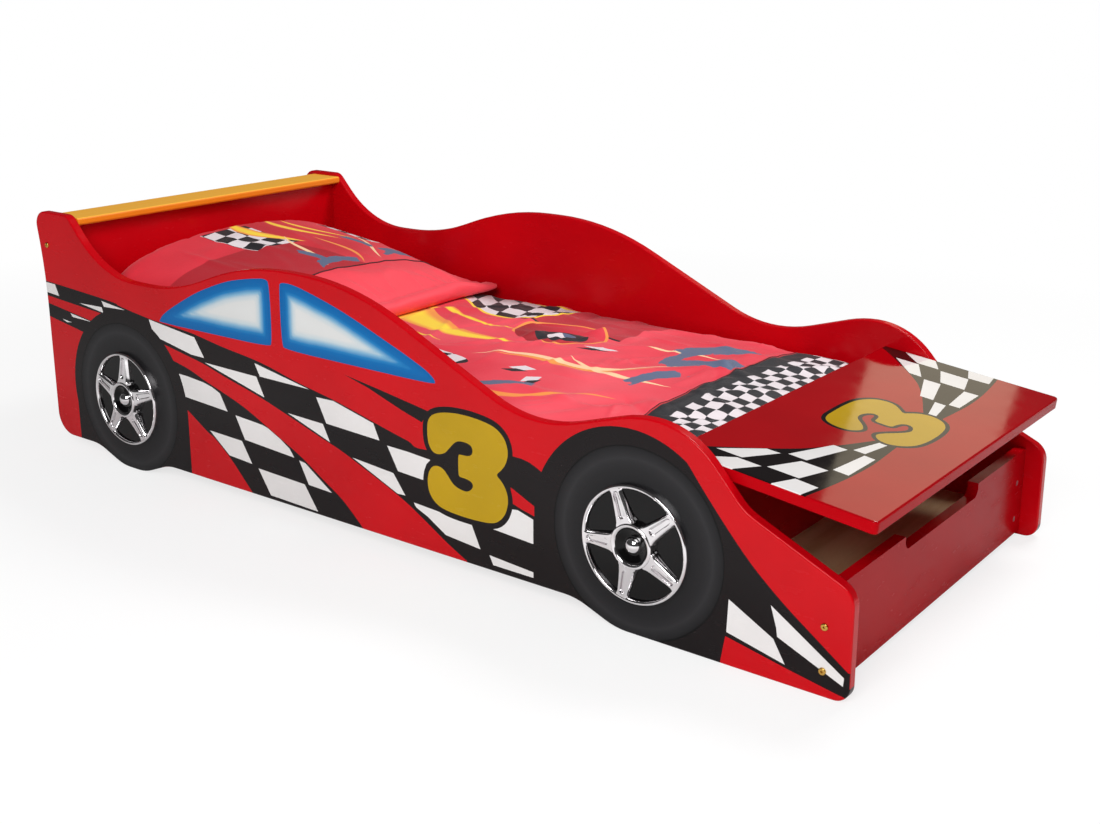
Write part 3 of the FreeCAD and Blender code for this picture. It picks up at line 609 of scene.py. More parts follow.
def painted_board(name, node, to_board, from_board, face_level, back_level, edge, back_edge,
                  livery, materials, body, wall_finish, attribute=None, extra=()):
    """A board rebuilt on its CAD outline, with its face cut along the livery's lines.
    to_board and from_board change between the frame and the board's own (a, b, height).
    livery is a list of (closed path, finish number, mask), painted in order over finish 0."""
    mesh = nodes[node].data
    points = [to_board(v.co) for v in mesh.vertices]
    sign = 1.0 if face_level > back_level else -1.0
    outline = loop_at(points, [tuple(e.vertices) for e in mesh.edges], face_level - sign * edge)
    ring = cut_ring(outline, edge, [path for path, _, _ in livery])
    face_ring = [p + m * edge for p, m, _, _ in ring]

    zero = Vector(from_board(Vector((0, 0, 0))))
    face_normal = (Vector(from_board(Vector((0, 0, 1)))) - zero) * sign

    def world(p, height):
        return Vector(from_board(Vector((p[0], p[1], height))))

    def turned(n, lean):
        side = Vector(from_board(Vector((n.x, n.y, 0)))) - zero
        return (side * math.cos(lean) + face_normal * math.sin(lean)).normalized()

    shell = Shell()
    made, triangles, centres = face_triangles(face_ring, livery, extra)
    for triangle, number in zip(triangles, finishes_at(centres, livery)):
        shell.face([world(made[k], face_level) for k in triangle], [face_normal] * 3, int(number))

    middles = np.array([tuple((a + b) / 2 + stretch[1] * 0.0008)
                        for a, b, stretch in zip(face_ring, face_ring[1:] + face_ring[:1], ring)])
    edge_finishes = finishes_at(middles, livery)
    wall_finishes = wall_finish(middles, edge_finishes)
    front = rounded_edge(face_level, -sign, edge, 1.0)
    back = rounded_edge(back_level, sign, back_edge, -1.0)
    for (p, m, n0, n1), (q, k, _, _), painted_as, wall in zip(ring, ring[1:] + ring[:1], edge_finishes,
                                                              wall_finishes):
        strips = [(*pair, painted_as if s >= 2 else wall) for s, pair in enumerate(zip(front, front[1:]))]
        strips.append((back[0], front[0], wall))
        if back_edge:
            strips += [(*pair, 0) for pair in zip(back, back[1:])]
        for (inset0, height0, lean0), (inset1, height1, lean1), number in strips:
            shell.face([world(p + m * inset0, height0), world(q + k * inset0, height0),
                        world(q + k * inset1, height1), world(p + m * inset1, height1)],
                       [turned(n0, lean0), turned(n1, lean0), turned(n1, lean1), turned(n0, lean1)],
                       int(number))
    shell.face([world(p + m * back_edge, back_level) for p, m, _, _ in ring], [-face_normal] * len(ring), 0)
    board = shell.make(name, materials, attribute)
    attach(board, body)
    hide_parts(node)


# ---------------------------------------------------------------- livery of the side panels

def traced(*points):
    return [(x * TRACE + REAR_HUB, z * TRACE) for x, z in points]


def at_station(*points):
    return [(x / 1000 + REAR_HUB, z / 1000) for x, z in points]


upper_line = smooth(traced((-262, 357), (-252, 356), (-41, 343), (0, 336), (86, 325), (200, 317),
    (240, 312), (300, 303), (400, 291), (500, 270), (600, 252), (700, 229), (760, 216), (800, 208.6),
    (982, 237), (1044.5, 222.8)))
red_band_top = smooth(traced((122, 281), (183, 271), (240, 261), (300, 246), (400, 223), (500, 194),
    (550, 179), (600, 165), (650, 146), (700, 127), (750, 106), (800, 79), (840, 56), (886, 33)))
red_band_bottom = smooth(traced((148, 253), (200, 242), (240, 229), (300, 212), (350, 196), (400, 175),
    (450, 153), (500, 130), (550, 101), (600, 72), (647, 32)))
lower_red_top = smooth(traced((184, 160), (240, 127), (260, 118), (300, 89), (340, 51), (359, 32)))

band_a = (upper_line + traced((1150, 210), (1150, -20), (930, -20))
    + red_band_top[::-1] + traced((-69, 313), (-245, 325), (-275, 327)))
band_b = red_band_bottom + traced((660, -20), (386, -20)) + lower_red_top[::-1] + traced((120, 200))
rear_black = traced((-280, 311), (-243, 309), (-100, 292), (-60, 290), (-80, 250), (-129, 264), (-243, 281),
    (-280, 285))
rear_surround = circle(REAR_HUB + 0.005, HUB_Z, 0.177)
rear_surround_foot = at_station((-168, -20), (182, -20), (182, 146), (-168, 146))
front_surround = circle(REAR_HUB + 1.185, HUB_Z, 0.176)
front_surround_foot = at_station((1009, -20), (1345, -20), (1356, 46), (1361, 146), (1009, 146))
front_wedge = traced((1300, 270), (1381, 228), (1411, 198), (1478, 134), (1572, 66), (1600, 46), (1600, 8),
    (1561, 11), (1478, 26), (1378, 46), (1300, 60))
shoulder = smooth(traced((1294, 306), (1303, 299), (1312, 289), (1331, 265), (1368, 221), (1409, 176),
    (1445, 143), (1480, 115), (1519, 87), (1572, 49), (1600, 30))) + traced((1640, 10), (1640, 340),
    (1294, 340))
tyre_rear = circle(REAR_HUB, HUB_Z, 0.151)
tyre_front = circle(FRONT_HUB, HUB_Z, 0.151)

red_island = traced((980.7, 184), (1028, 163), (1028, 146), (1001, 152), (982, 158))
white_islands = [traced(*p) for p in (
    [(-270, 354), (-248, 353), (-216, 352), (-205, 329), (-245, 332), (-270, 334)],
    [(-136, 324), (-63, 326), (-59, 315)],
    [(-62, 339), (12, 331), (-55, 328)],
    [(-171, 298), (-100, 290), (-164, 291)],
    [(-201, 282), (-169, 279), (-185, 277)],
    [(85.5, 323.5), (219, 309), (244, 273), (207, 273.4), (110, 290.7), (95, 301)],
    [(245, 264), (388, 262), (407, 226)],
    [(385, 287), (526, 263), (398, 264)],
    [(543, 252), (585, 253), (681, 231), (694, 203), (566, 208)],
    [(468, 208), (557, 205.5), (573, 175)],
    [(712, 197.6), (760, 196.5), (810, 193), (801, 184), (795, 170), (793, 154), (735.5, 157)],
    [(628, 158), (724.5, 151), (751, 116.6), (733, 116)],
    [(770, 108.6), (897, 101.7), (916, 61.4), (841, 67.6), (801, 90.7), (775.5, 101)],
    [(935, 56), (1029, 50), (1029, 40.7), (943, 40.7)],
    [(983, 147), (994.5, 148.6), (1027, 139.7), (1027, 98.6), (938.6, 103.8), (953, 108), (970, 123.4),
     (980.7, 142.4)],
    [(159, 228.6), (190, 228), (238, 224), (262, 219), (283, 211), (302, 179), (178, 185.5)],
    [(324, 176), (398.6, 171.7), (412, 168.3), (443.4, 154.5), (467.6, 140.7), (479, 126), (347, 133)],
    [(247.6, 131), (338, 128.6), (363, 89), (300, 92.4)],
    [(380, 83.8), (503, 80.3), (534.8, 35.5), (410.7, 38)],
    [(491.7, 123.4), (507, 121.7), (572.8, 80), (514, 82)],
    [(1382, 105), (1456, 65), (1476, 31), (1380, 53)],
    [(1450, 115), (1567, 39), (1566, 26), (1462, 70), (1460, 83)],
)]
spear = traced((614, 306), (698.6, 294), (808, 277), (793, 255), (750, 266.6), (671, 292.4))
DIGIT_SIDE = ((804, 241), (806, 262), (818, 275), (846, 283), (885, 286), (925, 283), (952, 277),
    (970, 262), (976.5, 241), (972, 222), (962, 208), (950, 198), (962, 190), (972, 176), (976, 158),
    (970, 135), (955, 118), (935, 111), (890, 109), (846, 111), (822, 117), (806, 133), (802, 155),
    (806, 172), (814, 183), (825.5, 186.6), (838, 184), (848, 174), (860, 160), (880, 154.5), (893, 156),
    (903, 166), (900, 174), (890, 177), (876, 177.5), (871.4, 179), (871, 197), (871.4, 215), (876, 216.6),
    (890, 216.6), (900, 220), (903, 229), (898, 238), (880, 240), (866, 237), (852, 222), (842, 211),
    (825.5, 206), (814, 209), (806, 222))
DIGIT_NOTCH = traced((835, 186), (852, 172), (868, 161), (890, 161), (896, 166), (890, 171), (868, 180),
    (868, 214), (890, 222), (896, 228), (890, 234), (868, 234), (852, 224), (835, 207))
rear_window = softened(traced((117, 323), (119, 327), (131, 341), (165, 361), (200, 380), (240, 400),
    (300, 423), (340, 435), (400, 446), (428, 448.6), (436, 440), (436, 333), (428, 324.5), (270, 323.5)))
front_window = softened(traced((460.7, 334), (460.7, 440), (466, 447.6), (498, 447.6), (550, 435.5),
    (602, 421.7), (654, 404.5), (705.5, 385.5), (757, 366.6), (800, 349), (815, 340.7), (825.5, 331),
    (822, 325), (640, 325.5), (470, 326)))
PAINTS = [red_paint, black_paint, white_paint, gold_paint, window,
          tyre_paint("tyre_rear_print", REAR_HUB), tyre_paint("tyre_front_print", FRONT_HUB)]
R_, K_, W_, G_, V_, TR_, TF_ = range(7)      # their places: red, black, white, gold, window, tyres


def near_path(path, reach):
    """Marks what lies in the path or within that reach of it."""
    return lambda places: inside(places, path) | (distance(places, path) < reach)


def painted(finish, *paths):
    return [(path, finish, None) for path in paths]


def outlined(digit, width):
    """A black outline of that width, made of round strokes, under the golden digit."""
    return [(swollen(digit, width), K_, near_path(digit, width - 2e-5))]


def side_livery(left):
    """The side's paints in their order. The left side's digit is turned round in its place."""
    digit, notch = traced(*DIGIT_SIDE), DIGIT_NOTCH
    if left:
        middle = (min(p[0] for p in digit) + max(p[0] for p in digit)) / 2
        digit = [(2 * middle - x, z) for x, z in digit][::-1]
        notch = [(2 * middle - x, z) for x, z in notch]
    digit = softened(digit)
    return (painted(K_, band_a, band_b, rear_black) + painted(W_, *white_islands)
            + painted(K_, rear_surround, rear_surround_foot, front_surround, front_surround_foot)
            + painted(K_, front_wedge) + painted(R_, shoulder) + painted(W_, *white_islands[-2:])
            + painted(R_, red_island) + painted(K_, spear) + outlined(digit, 0.0098)
            + painted(K_, notch) + painted(G_, digit) + painted(V_, rear_window, front_window)
            + painted(TR_, tyre_rear) + painted(TF_, tyre_front))


def window_points():
    """A grid of points in the windows, so that their fading colour has vertices to ride on."""
    found = []
    for path in (rear_window, front_window):
        low, high = np.min(path, axis=0), np.max(path, axis=0)
        grid = np.array([(x, z) for x in np.arange(low[0], high[0], 0.006)
                         for z in np.arange(low[1], high[1], 0.006)])
        grid = grid[inside(grid, path)]
        grid = grid[distance(grid, path) > 0.002]
        found.extend(tuple(p) for p in grid)
    return found


def inward_of(points):
    """How far each point lies inside its window."""
    places = points[:, [0, 2]]
    value = np.zeros(len(points))
    for path in (rear_window, front_window):
        mark = inside(places, path)
        value[mark] = distance(places[mark], path)
    return value


def panel_walls(places, finishes):
    """The board's edge is red, but black under the tyres."""
    low = (places[:, 1] < 0.024) & np.isin(finishes, (TR_, TF_, K_))
    return np.where(low, K_, R_)


inner_points = window_points()
for side, left in (("right", False), ("left", True)):
    way = 1.0 if left else -1.0
    painted_board("painted_panel_" + side, "side_panel_" + side,
                  lambda v: (v[0], v[2], v[1]), lambda v: (v[0], v[2], v[1]),
                  way * PANEL_OUT, way * PANEL_IN, BOARD_EDGE, BOARD_EDGE, side_livery(left), PAINTS, "bed",
                  panel_walls, ("inward", inward_of), inner_points)


# ---------------------------------------------------------------- bonnet

def to_bonnet(v):
    dx, dz = v[0] - HINGE.x, v[2] - HINGE.z
    return (dx * math.cos(SLOPE) - dz * math.sin(SLOPE), v[1],
            dx * math.sin(SLOPE) + dz * math.cos(SLOPE))


def from_bonnet(v):
    return (HINGE.x + v[0] * math.cos(SLOPE) + v[2] * math.sin(SLOPE), v[1],
            HINGE.z - v[0] * math.sin(SLOPE) + v[2] * math.cos(SLOPE))


def on_bonnet(points):
    """Millimetres ahead of the hinge's axis and from the middle, in metres."""
    return [(u / 1000, w / 1000) for u, w in points]


SWOOSH_TOP = ((192, 84), (178, 115), (163, 147), (148, 175), (125, 212), (92, 250), (45, 298), (20, 322),
    (0, 338))
SWOOSH_LOW = ((212, 360), (219, 312), (226, 250), (229, 190), (228, 150), (224, 84))
BONNET_WHITES = (
    [(184, 149.5), (203, 149.5), (212, 89), (199, 88)],
    [(155, 156), (178, 156), (155, 241), (125, 241)],
    [(205, 156), (223, 157), (222, 242), (197, 241)],
    [(151, 249.5), (194, 249), (178, 307), (127, 307)],
    [(94, 249.5), (117, 248), (86, 307), (43, 307)],
    [(81, 312), (121, 312), (97, 354), (38, 354)],
    [(175, 312), (212, 314), (206, 352), (160, 352)],
)
DIGIT_BONNET = ((90, -10), (91, -30), (97, -47), (110, -57), (127, -61), (143, -58), (153, -49), (157, -39),
    (153, -28), (143, -15), (131, -3), (126, 8), (126, 20), (131, 33), (140, 40), (149, 36), (152, 25),
    (153, 10), (168, 8.5), (183, 9), (184, 20), (188, 34), (197, 40), (207, 36), (213, 20), (210, 8),
    (202, -5), (192, -18), (184, -30), (180, -40), (184, -50), (194, -59), (208, -62), (223, -56),
    (236, -43), (244, -27), (248, 0), (249, 25), (248, 50), (244, 76), (234, 94), (220, 104), (203, 107),
    (188, 101), (178, 90), (170, 80), (160, 91), (147, 104), (131, 109), (115, 105), (103, 93), (94, 76),
    (90, 55), (89, 20))
swoosh = smooth(on_bonnet(SWOOSH_TOP)) + [(-0.01, 0.37), (0.21, 0.37)] + smooth(on_bonnet(SWOOSH_LOW))
bonnet_livery = []
for mirror in (1.0, -1.0):
    for finish, path in [(K_, swoosh)] + [(W_, on_bonnet(points)) for points in BONNET_WHITES]:
        bonnet_livery += painted(finish, [(u, w * mirror) for u, w in path])
digit = softened(on_bonnet([(u, w - 24) for u, w in DIGIT_BONNET]))
bonnet_livery += outlined(digit, 0.007) + painted(G_, digit)
LID_PAINTS = [lid_red_painted_shade, lid_black, lid_white, lid_gold, lid_edge_painted_shade]
# The lid takes its darker reds: painted shade on its face and on its edge walls.
painted_board("painted_bonnet", "bonnet", to_bonnet, from_bonnet, 0.022, 0.004, BOARD_EDGE, 0.0,
              bonnet_livery, LID_PAINTS, "bonnet_lid",
              lambda places, finishes: np.full(len(places), LID_PAINTS.index(lid_edge_painted_shade)))


# ---------------------------------------------------------------- bedding

def turned_by(dx, dy, turn):
    """The offset's parts along and across that direction."""
    return (dx * math.cos(turn) + dy * math.sin(turn), dy * math.cos(turn) - dx * math.sin(turn))


class Print:
    """Cloth with a print: a ground of two clouded colours, painted over mark by mark."""

    def __init__(self, name, deep, pale):
        self.tree = Tree(name)
        self.at = self.tree.coords()
        warp = self.tree.noise(self.at, 6.0, 2.0) - 0.5
        x, y, _ = self.tree.split(self.at)
        self.x = x + warp * 0.012
        self.y = y + warp * 0.010
        self.colour = self.tree.clouded(self.tree.noise(self.at, 3.0), deep, pale, 0.38, 0.62)

    def paint(self, mark, colour):
        self.colour = self.tree.mix(mark, self.colour, colour)

    def flag(self, mark, a, b, pitch):
        """Black and white squares of that pitch along a and b, where the mark is."""
        cells = [(place / (2 * pitch)).frac().over(0.5, 0.004) for place in (a, b)]
        self.paint(mark, self.tree.mix((cells[0] - cells[1]).abs(), PRINT_BLACK, PRINT_WHITE))

    def beside(self, level, slope, swing, rate, phase):
        """Distance in y from a wavy line along x."""
        return self.y - (level + slope * self.x + swing * (self.x * rate + phase).sin())

    def strokes(self, *rows):
        """Strokes that taper at both ends: the line's five numbers, its ends in x, width and colour."""
        for *line, low, high, wide, colour in rows:
            taper = ((self.x - low) * (high - self.x)).max(0.0) * (0.12 / (high - low) ** 2) + 0.0004
            mark = (self.beside(*line).abs() / (taper * wide)).under(1.0, 0.4)
            self.paint(mark * self.x.between(low, high), colour)

    def patches(self, ragged, bow, within, *rows):
        """Bowed slate patches with ragged edges: middle, direction, half length and half width."""
        rough = (self.tree.noise(self.at, 38.0, 2.0) - 0.5) * ragged
        for cx, cy, turn, long, wide in rows:
            along, across = turned_by(self.x - cx, self.y - cy, turn)
            shape = (along.abs() / long).max((across + along * along * bow).abs() / wide)
            self.paint((shape + rough).under(1.0, 0.08) * within, PRINT_SLATE)

    def cloth(self):
        """The finished material, with fuzz, fine creases and a weave."""
        t, at = self.tree, self.at
        fuzz = t.noise(at, 260.0, 3.0, 0.6)
        thread_relief = t.bump(weave(t, at, 0.0009), 0.14, 0.0004)
        return t.set(Base_Color=self.colour, Roughness=t.remap(fuzz, 0.52, 0.66, 0.3, 0.7),
                     Sheen_Weight=0.1, Sheen_Roughness=0.45, Specular_IOR_Level=0.25,
                     Normal=t.bump(t.noise(at, 34.0, 4.0, 0.55), 0.16, 0.004, thread_relief))


RASPBERRY = linear((240, 84, 98))
RASPBERRY_DEEP = linear((222, 52, 70))
PILLOW_RED = linear((224, 50, 66))
PILLOW_DEEP = linear((190, 24, 40))
# paler red for the painted light on the pillow's front
PILLOW_PAINTED_LIGHT = linear((252, 80, 94))
CRIMSON = linear((158, 22, 34))
PRINT_BLACK = linear((34, 33, 38))
PRINT_WHITE = linear((226, 216, 220))
PRINT_GOLD = linear((252, 214, 60))
PRINT_ORANGE = linear((242, 150, 70))
PRINT_CREAM = linear((248, 206, 160))
PRINT_SLATE = linear((92, 104, 132))


def duvet_ribbons(p):
    """A dark sweep over the far side, partly print and partly painted shadow of the far side panel,
    and two flag ribbons at the head end.
    """
    x, y = p.x, p.y
    # Painted shadow, in part: the crimson sweep stands for the far side panel's shadow as well as for the
    # print.
    off = p.beside(0.13, -0.25, 0.05, 7.0, 0.4)
    span = x.between(-0.08, 0.16, 0.004)
    p.paint(off.over(0.0, 0.004) * span * 0.7, CRIMSON)
    p.paint(off.abs().under(0.003) * span, PRINT_BLACK)
    off = p.beside(0.215, -0.30, 0.035, 15.0, 1.0)
    p.paint(off.abs().under(0.086) * x.under(-0.05), PRINT_GOLD)
    p.flag(off.abs().under(0.078) * x.under(-0.055), x + 0.35 * y, off + 0.5, 0.050)
    off = p.beside(-0.170, 0.12, 0.020, 11.0, 2.0)
    width = ((0.03 - x).max(0.0) * 0.016).sqrt()
    p.flag((off.abs() / (width + 0.0001)).under(1.0, 0.02) * x.under(0.03), x - 0.2 * y, off + 0.5, 0.044)


def duvet_streaks(p):
    """Golden streaks that taper to a point."""
    for level, slope, swing, rate, wide, tip in ((0.00, -0.22, 0.030, 10.0, 0.155, 0.02),
                                                 (0.085, -0.12, 0.018, 13.0, 0.045, -0.04),
                                                 (-0.075, -0.20, 0.014, 12.0, 0.040, -0.10)):
        off = p.beside(level, slope, swing, rate, 0.0)
        width = (tip - p.x).max(0.0) * wide + 0.0008
        core = ((off + width * 0.15) / width).abs().under(0.62, 0.5)
        p.paint((off.abs() / width).under(1.0, 0.05) * p.x.under(tip - 0.004),
                p.tree.mix(core, PRINT_ORANGE, PRINT_GOLD))


def duvet_disc(p):
    """A wheel-like disc with a bright rim, and a ringed hub in white and slate."""
    dx, dy = p.x - 0.045, (p.y - 0.105) * 1.15
    radius = (dx * dx + dy * dy).sqrt()
    p.paint(radius.under(0.098) * (dy + dx * 0.4).over(-0.086), PRINT_ORANGE)
    p.paint(radius.under(0.092), p.tree.clouded(dx + dy, CRIMSON, RASPBERRY_DEEP, -0.1, 0.1))
    dx, dy = p.x - 0.062, (p.y - 0.085) * 1.3
    radius = (dx * dx + dy * dy).sqrt()
    p.paint(radius.between(0.030, 0.056), PRINT_BLACK)
    p.paint(radius.under(0.030) * (dx + dy).under(0.012), PRINT_WHITE)
    p.paint(radius.under(0.030) * (dx + dy).over(0.012), PRINT_SLATE)


def duvet_accents(p):
    """Small light lozenges, each with a dark one beside it."""
    for cx, cy, turn, long, wide in ((0.135, -0.125, 0.3, 0.026, 0.015), (0.185, -0.165, 1.2, 0.022, 0.016),
                                     (0.175, 0.055, 0.2, 0.034, 0.012)):
        along, across = turned_by(p.x - cx, p.y - cy, turn)
        dark = (along + 0.010).abs() / long + (across + 0.014).abs() / (wide * 0.6)
        p.paint((along.abs() / long + across.abs() / wide).under(1.0, 0.08), PRINT_WHITE)
        p.paint(dark.under(1.0, 0.08), PRINT_BLACK)


def duvet_hem(p):
    """A red line, a black band and a band of wavering squares at the foot."""
    hem = DUVET_FOOT - p.x
    ripple = p.tree.noise(p.at, 11.0, 2.0) - 0.5
    ripple_across = p.tree.noise(p.tree.scaled(p.at, (1.0, 1.0, 1.0), (3.0, 5.0, 0.0)), 11.0, 2.0) - 0.5
    p.paint(hem.under(0.151, 0.002), linear((196, 44, 52)))
    p.paint(hem.under(0.147, 0.002), PRINT_BLACK)
    p.flag(hem.under(0.117, 0.002), hem + ripple * 0.022, p.y + ripple_across * 0.022, 0.0246)


def duvet_print_and_painted_shadow(name):
    """Racing print on a raspberry ground: flag ribbons, speed streaks, a wheel-like disc and a flag hem."""
    p = Print(name, RASPBERRY_DEEP, RASPBERRY)
    # The first marks lay a darker sweep that is partly painted shadow of the far side panel.
    duvet_ribbons(p)
    duvet_streaks(p)
    duvet_disc(p)
    p.strokes((-0.120, 0.42, 0.034, 17.0, 0.5, 0.00, 0.36, 0.30, PRINT_CREAM),
              (-0.132, 0.42, 0.034, 17.0, 0.5, 0.03, 0.33, 0.22, PRINT_ORANGE),
              (-0.255, 0.20, 0.034, 13.0, 2.4, -0.06, 0.36, 0.26, PRINT_ORANGE),
              (0.04, -0.30, 0.026, 15.0, 1.2, 0.16, 0.40, 0.20, PRINT_CREAM),
              (-0.300, 0.10, 0.022, 18.0, 0.0, -0.14, 0.20, 0.20, PRINT_SLATE),
              (0.15, -0.10, 0.020, 16.0, 2.0, 0.20, 0.39, 0.16, PRINT_CREAM))
    duvet_accents(p)
    p.patches(1.1, 4.0, 1.0, (0.335, 0.185, 0.9, 0.072, 0.026), (0.375, 0.085, 0.5, 0.066, 0.024),
              (0.315, 0.10, 1.5, 0.060, 0.015), (0.345, -0.03, 1.1, 0.050, 0.014),
              (0.16, -0.205, 0.4, 0.05, 0.011))
    duvet_hem(p)
    return p.cloth()


def pillow_print_and_painted_light(name):
    """The duvet's kind of print in deeper reds, with painted light that makes it paler towards the front.
    """
    p = Print(name, PILLOW_DEEP, PILLOW_RED)
    x, y = p.x, p.y
    # Painted light: the front of the pillow, where light falls on it, is made paler.
    p.paint(p.tree.remap(x, 0.0, 0.85, -0.56, -0.40), PILLOW_PAINTED_LIGHT)
    top = x.under(PILLOW_PIPING, 0.002)
    off = p.beside(0.16, 0.55, 0.04, 9.0, 0.0)
    p.paint(off.over(-0.22, 0.004) * off.under(0.16, 0.004) * x.over(-0.62, 0.004) * top * 0.75, CRIMSON)
    for line, half, low, high, pitch in (((0.40, 0.62, 0.040, 15.0, 1.4), 0.060, -0.735, -0.60, 0.034),
                                         ((0.66, 0.62, 0.030, 15.0, 0.4), 0.032, -0.72, -0.58, 0.026)):
        off = p.beside(*line)
        p.flag(off.abs().under(half) * x.between(low, high), x + 0.2 * y, off + 0.5, pitch)
    for level, slope, low, high, wide in ((0.33, 0.46, -0.775, -0.595, 0.020),
                                          (0.50, 0.56, -0.765, -0.60, 0.012),
                                          (0.57, 0.60, -0.745, -0.60, 0.008)):
        width = (x - low) * (high - x) * (wide * 4 / (high - low) ** 2)
        place = p.beside(level, slope, 0.026, 22.0, 0.7).abs() / width.max(0.0005)
        p.paint(place.under(1.0, 0.1) * x.between(low, high),
                p.tree.mix(place.under(0.6, 0.5), PRINT_ORANGE, PRINT_GOLD))
    p.strokes((-0.06, -0.30, 0.030, 22.0, 0.2, -0.62, -0.47, 0.16, PRINT_ORANGE),
              (0.14, -0.10, 0.026, 20.0, 1.2, -0.62, -0.48, 0.16, PRINT_CREAM),
              (-0.20, -0.40, 0.020, 24.0, 0.8, -0.64, -0.48, 0.16, PRINT_CREAM))
    p.patches(1.0, 5.0, top, (-0.515, 0.27, 1.3, 0.06, 0.020), (-0.50, 0.05, 1.5, 0.05, 0.012),
              (-0.53, 0.02, 0.5, 0.035, 0.009), (-0.58, 0.20, 0.3, 0.034, 0.010))
    return p.cloth()


def ticking(name):
    """Off-white mattress cover with stitched lozenges."""
    t = Tree(name)
    at = t.coords()
    x, y, _ = t.split(at)
    lattice = ((x + y) * 55.0).sin().abs().min(((x - y) * 55.0).sin().abs())
    colour = t.clouded(t.noise(at, 8.0), linear((222, 218, 208)), linear((236, 233, 226)), 0.4, 0.6)
    colour = t.mix(lattice.under(0.06, 0.06) * 0.35, colour, linear((190, 184, 172)))
    return t.set(Base_Color=colour, Roughness=t.remap(t.noise(at, 200.0), 0.75, 0.9), Sheen_Weight=0.2,
                 Normal=t.bump(lattice.min(0.3), 0.5, 0.006, t.bump(weave(t, at, 0.001), 0.1, 0.0004)))


def copy_of(name, node):
    """The CAD solid's mesh as an object of its own."""
    mesh = nodes[node].data.copy()
    mesh.materials.clear()
    return linked(name, mesh)


def modified(made, kind, **settings):
    """Puts a modifier with those settings on the object and applies it."""
    modifier = made.modifiers.new(kind.lower(), kind)
    for name, value in settings.items():
        setattr(modifier, name, value)
    graph = bpy.context.evaluated_depsgraph_get()
    mesh = bpy.data.meshes.new_from_object(made.evaluated_get(graph))
    made.modifiers.clear()
    made.data = mesh
    return made


def remeshed(made, voxel):
    return modified(made, "REMESH", mode="VOXEL", voxel_size=voxel, use_smooth_shade=True)


def finer(made):
    return modified(made, "SUBSURF", levels=1, render_levels=1)


def coordinates(mesh):
    co = np.zeros(len(mesh.vertices) * 3)
    mesh.vertices.foreach_get("co", co)
    return co.reshape(-1, 3)


def set_coordinates(mesh, co):
    mesh.vertices.foreach_set("co", co.reshape(-1).astype(np.float32))
    mesh.update()


def crumple(made, count, seed, low, high, lean, height, swell=0.004, reach=(0.10, 0.34),
            thin=(0.006, 0.013), sway=0.55):
    """Lays soft folds over the upper side: curved ridges that start and end in nothing.
    low and high bound them in x and y; lean is their usual direction, in radians from x."""
    rng = np.random.default_rng(seed)
    co = coordinates(made.data)
    up = np.clip(np.array([v.normal.z for v in made.data.vertices]), 0.0, 1.0)
    relief = np.zeros(len(co))
    for _ in range(count):
        start = rng.uniform(low, high)
        turn = lean + rng.normal(0.0, sway)
        bend = rng.normal(0.0, 1.6)
        length = rng.uniform(*reach)
        width = rng.uniform(*thin)
        tall = height * rng.uniform(0.35, 1.0) * (1.0 if rng.random() < 0.7 else -0.8)
        along, across = turned_by(*(co[:, :2] - start).T, turn)
        share = np.clip(along / length, 0.0, 1.0)
        spread = width * (0.6 + 1.2 * share)
        taper = np.sin(math.pi * share) ** 1.2
        relief += tall * taper * np.exp(-0.5 * ((across - bend * along ** 2) / spread) ** 2)
    for i in np.nonzero(up > 0.05)[0]:
        p = co[i]
        relief[i] += swell * noise.noise(Vector((p[0] * 4.0 + seed, p[1] * 6.0, seed * 0.7)))
    co[:, 2] += relief * up
    set_coordinates(made.data, co)


CLOTH = {"quality": 5, "mass": 0.3, "tension_stiffness": 8.0, "compression_stiffness": 8.0,
         "bending_stiffness": 0.4, "use_pressure": True}
CLOTH_FRAMES = 14


def puffed(made, pressure, cap, calm_from=None, calm_to=None):
    """Swells the closed mesh as cloth under pressure, with each point's way limited to cap.
    The way fades out in x between calm_from and calm_to, where a sewn edge stays thin."""
    before = coordinates(made.data).copy()
    modifier = made.modifiers.new("cloth", "CLOTH")
    for name, value in CLOTH.items():
        setattr(modifier.settings, name, value)
    modifier.settings.uniform_pressure_force = pressure
    modifier.settings.effector_weights.gravity = 0.0
    modifier.collision_settings.use_collision = False
    scene = bpy.context.scene
    for step in range(1, CLOTH_FRAMES + 1):
        scene.frame_set(step)
        bpy.context.view_layer.update()
    evaluated = made.evaluated_get(bpy.context.evaluated_depsgraph_get())
    moved = coordinates(evaluated.to_mesh()) - before
    evaluated.to_mesh_clear()
    made.modifiers.clear()
    scene.frame_set(1)
    length = np.linalg.norm(moved, axis=1)
    moved *= np.minimum(1.0, cap / np.maximum(length, 1e-9))[:, None]
    if calm_to is not None:
        moved *= np.clip((calm_to - before[:, 0]) / (calm_to - calm_from), 0.0, 1.0)[:, None]
    set_coordinates(made.data, before + moved)


def finish_soft(made, material, node):
    made.data.materials.clear()
    made.data.materials.append(material)
    made.data.polygons.foreach_set("use_smooth", [True] * len(made.data.polygons))
    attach(made, "bed")
    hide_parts(node)


def held_in(made, low, high):
    """Keeps the mesh within that box."""
    set_coordinates(made.data, np.clip(coordinates(made.data), low, high))


def pressed(made, full, none, level):
    """Keeps the mesh under that level where x is below full, and lets go of it by none."""
    co = coordinates(made.data)
    share = np.clip((none - co[:, 0]) / (none - full), 0.0, 1.0)
    co[:, 2] -= np.maximum(co[:, 2] - level, 0.0) * share
    set_coordinates(made.data, co)


def eased(share):
    """A soft step from 0 to 1."""
    return share * share * (3 - 2 * share)


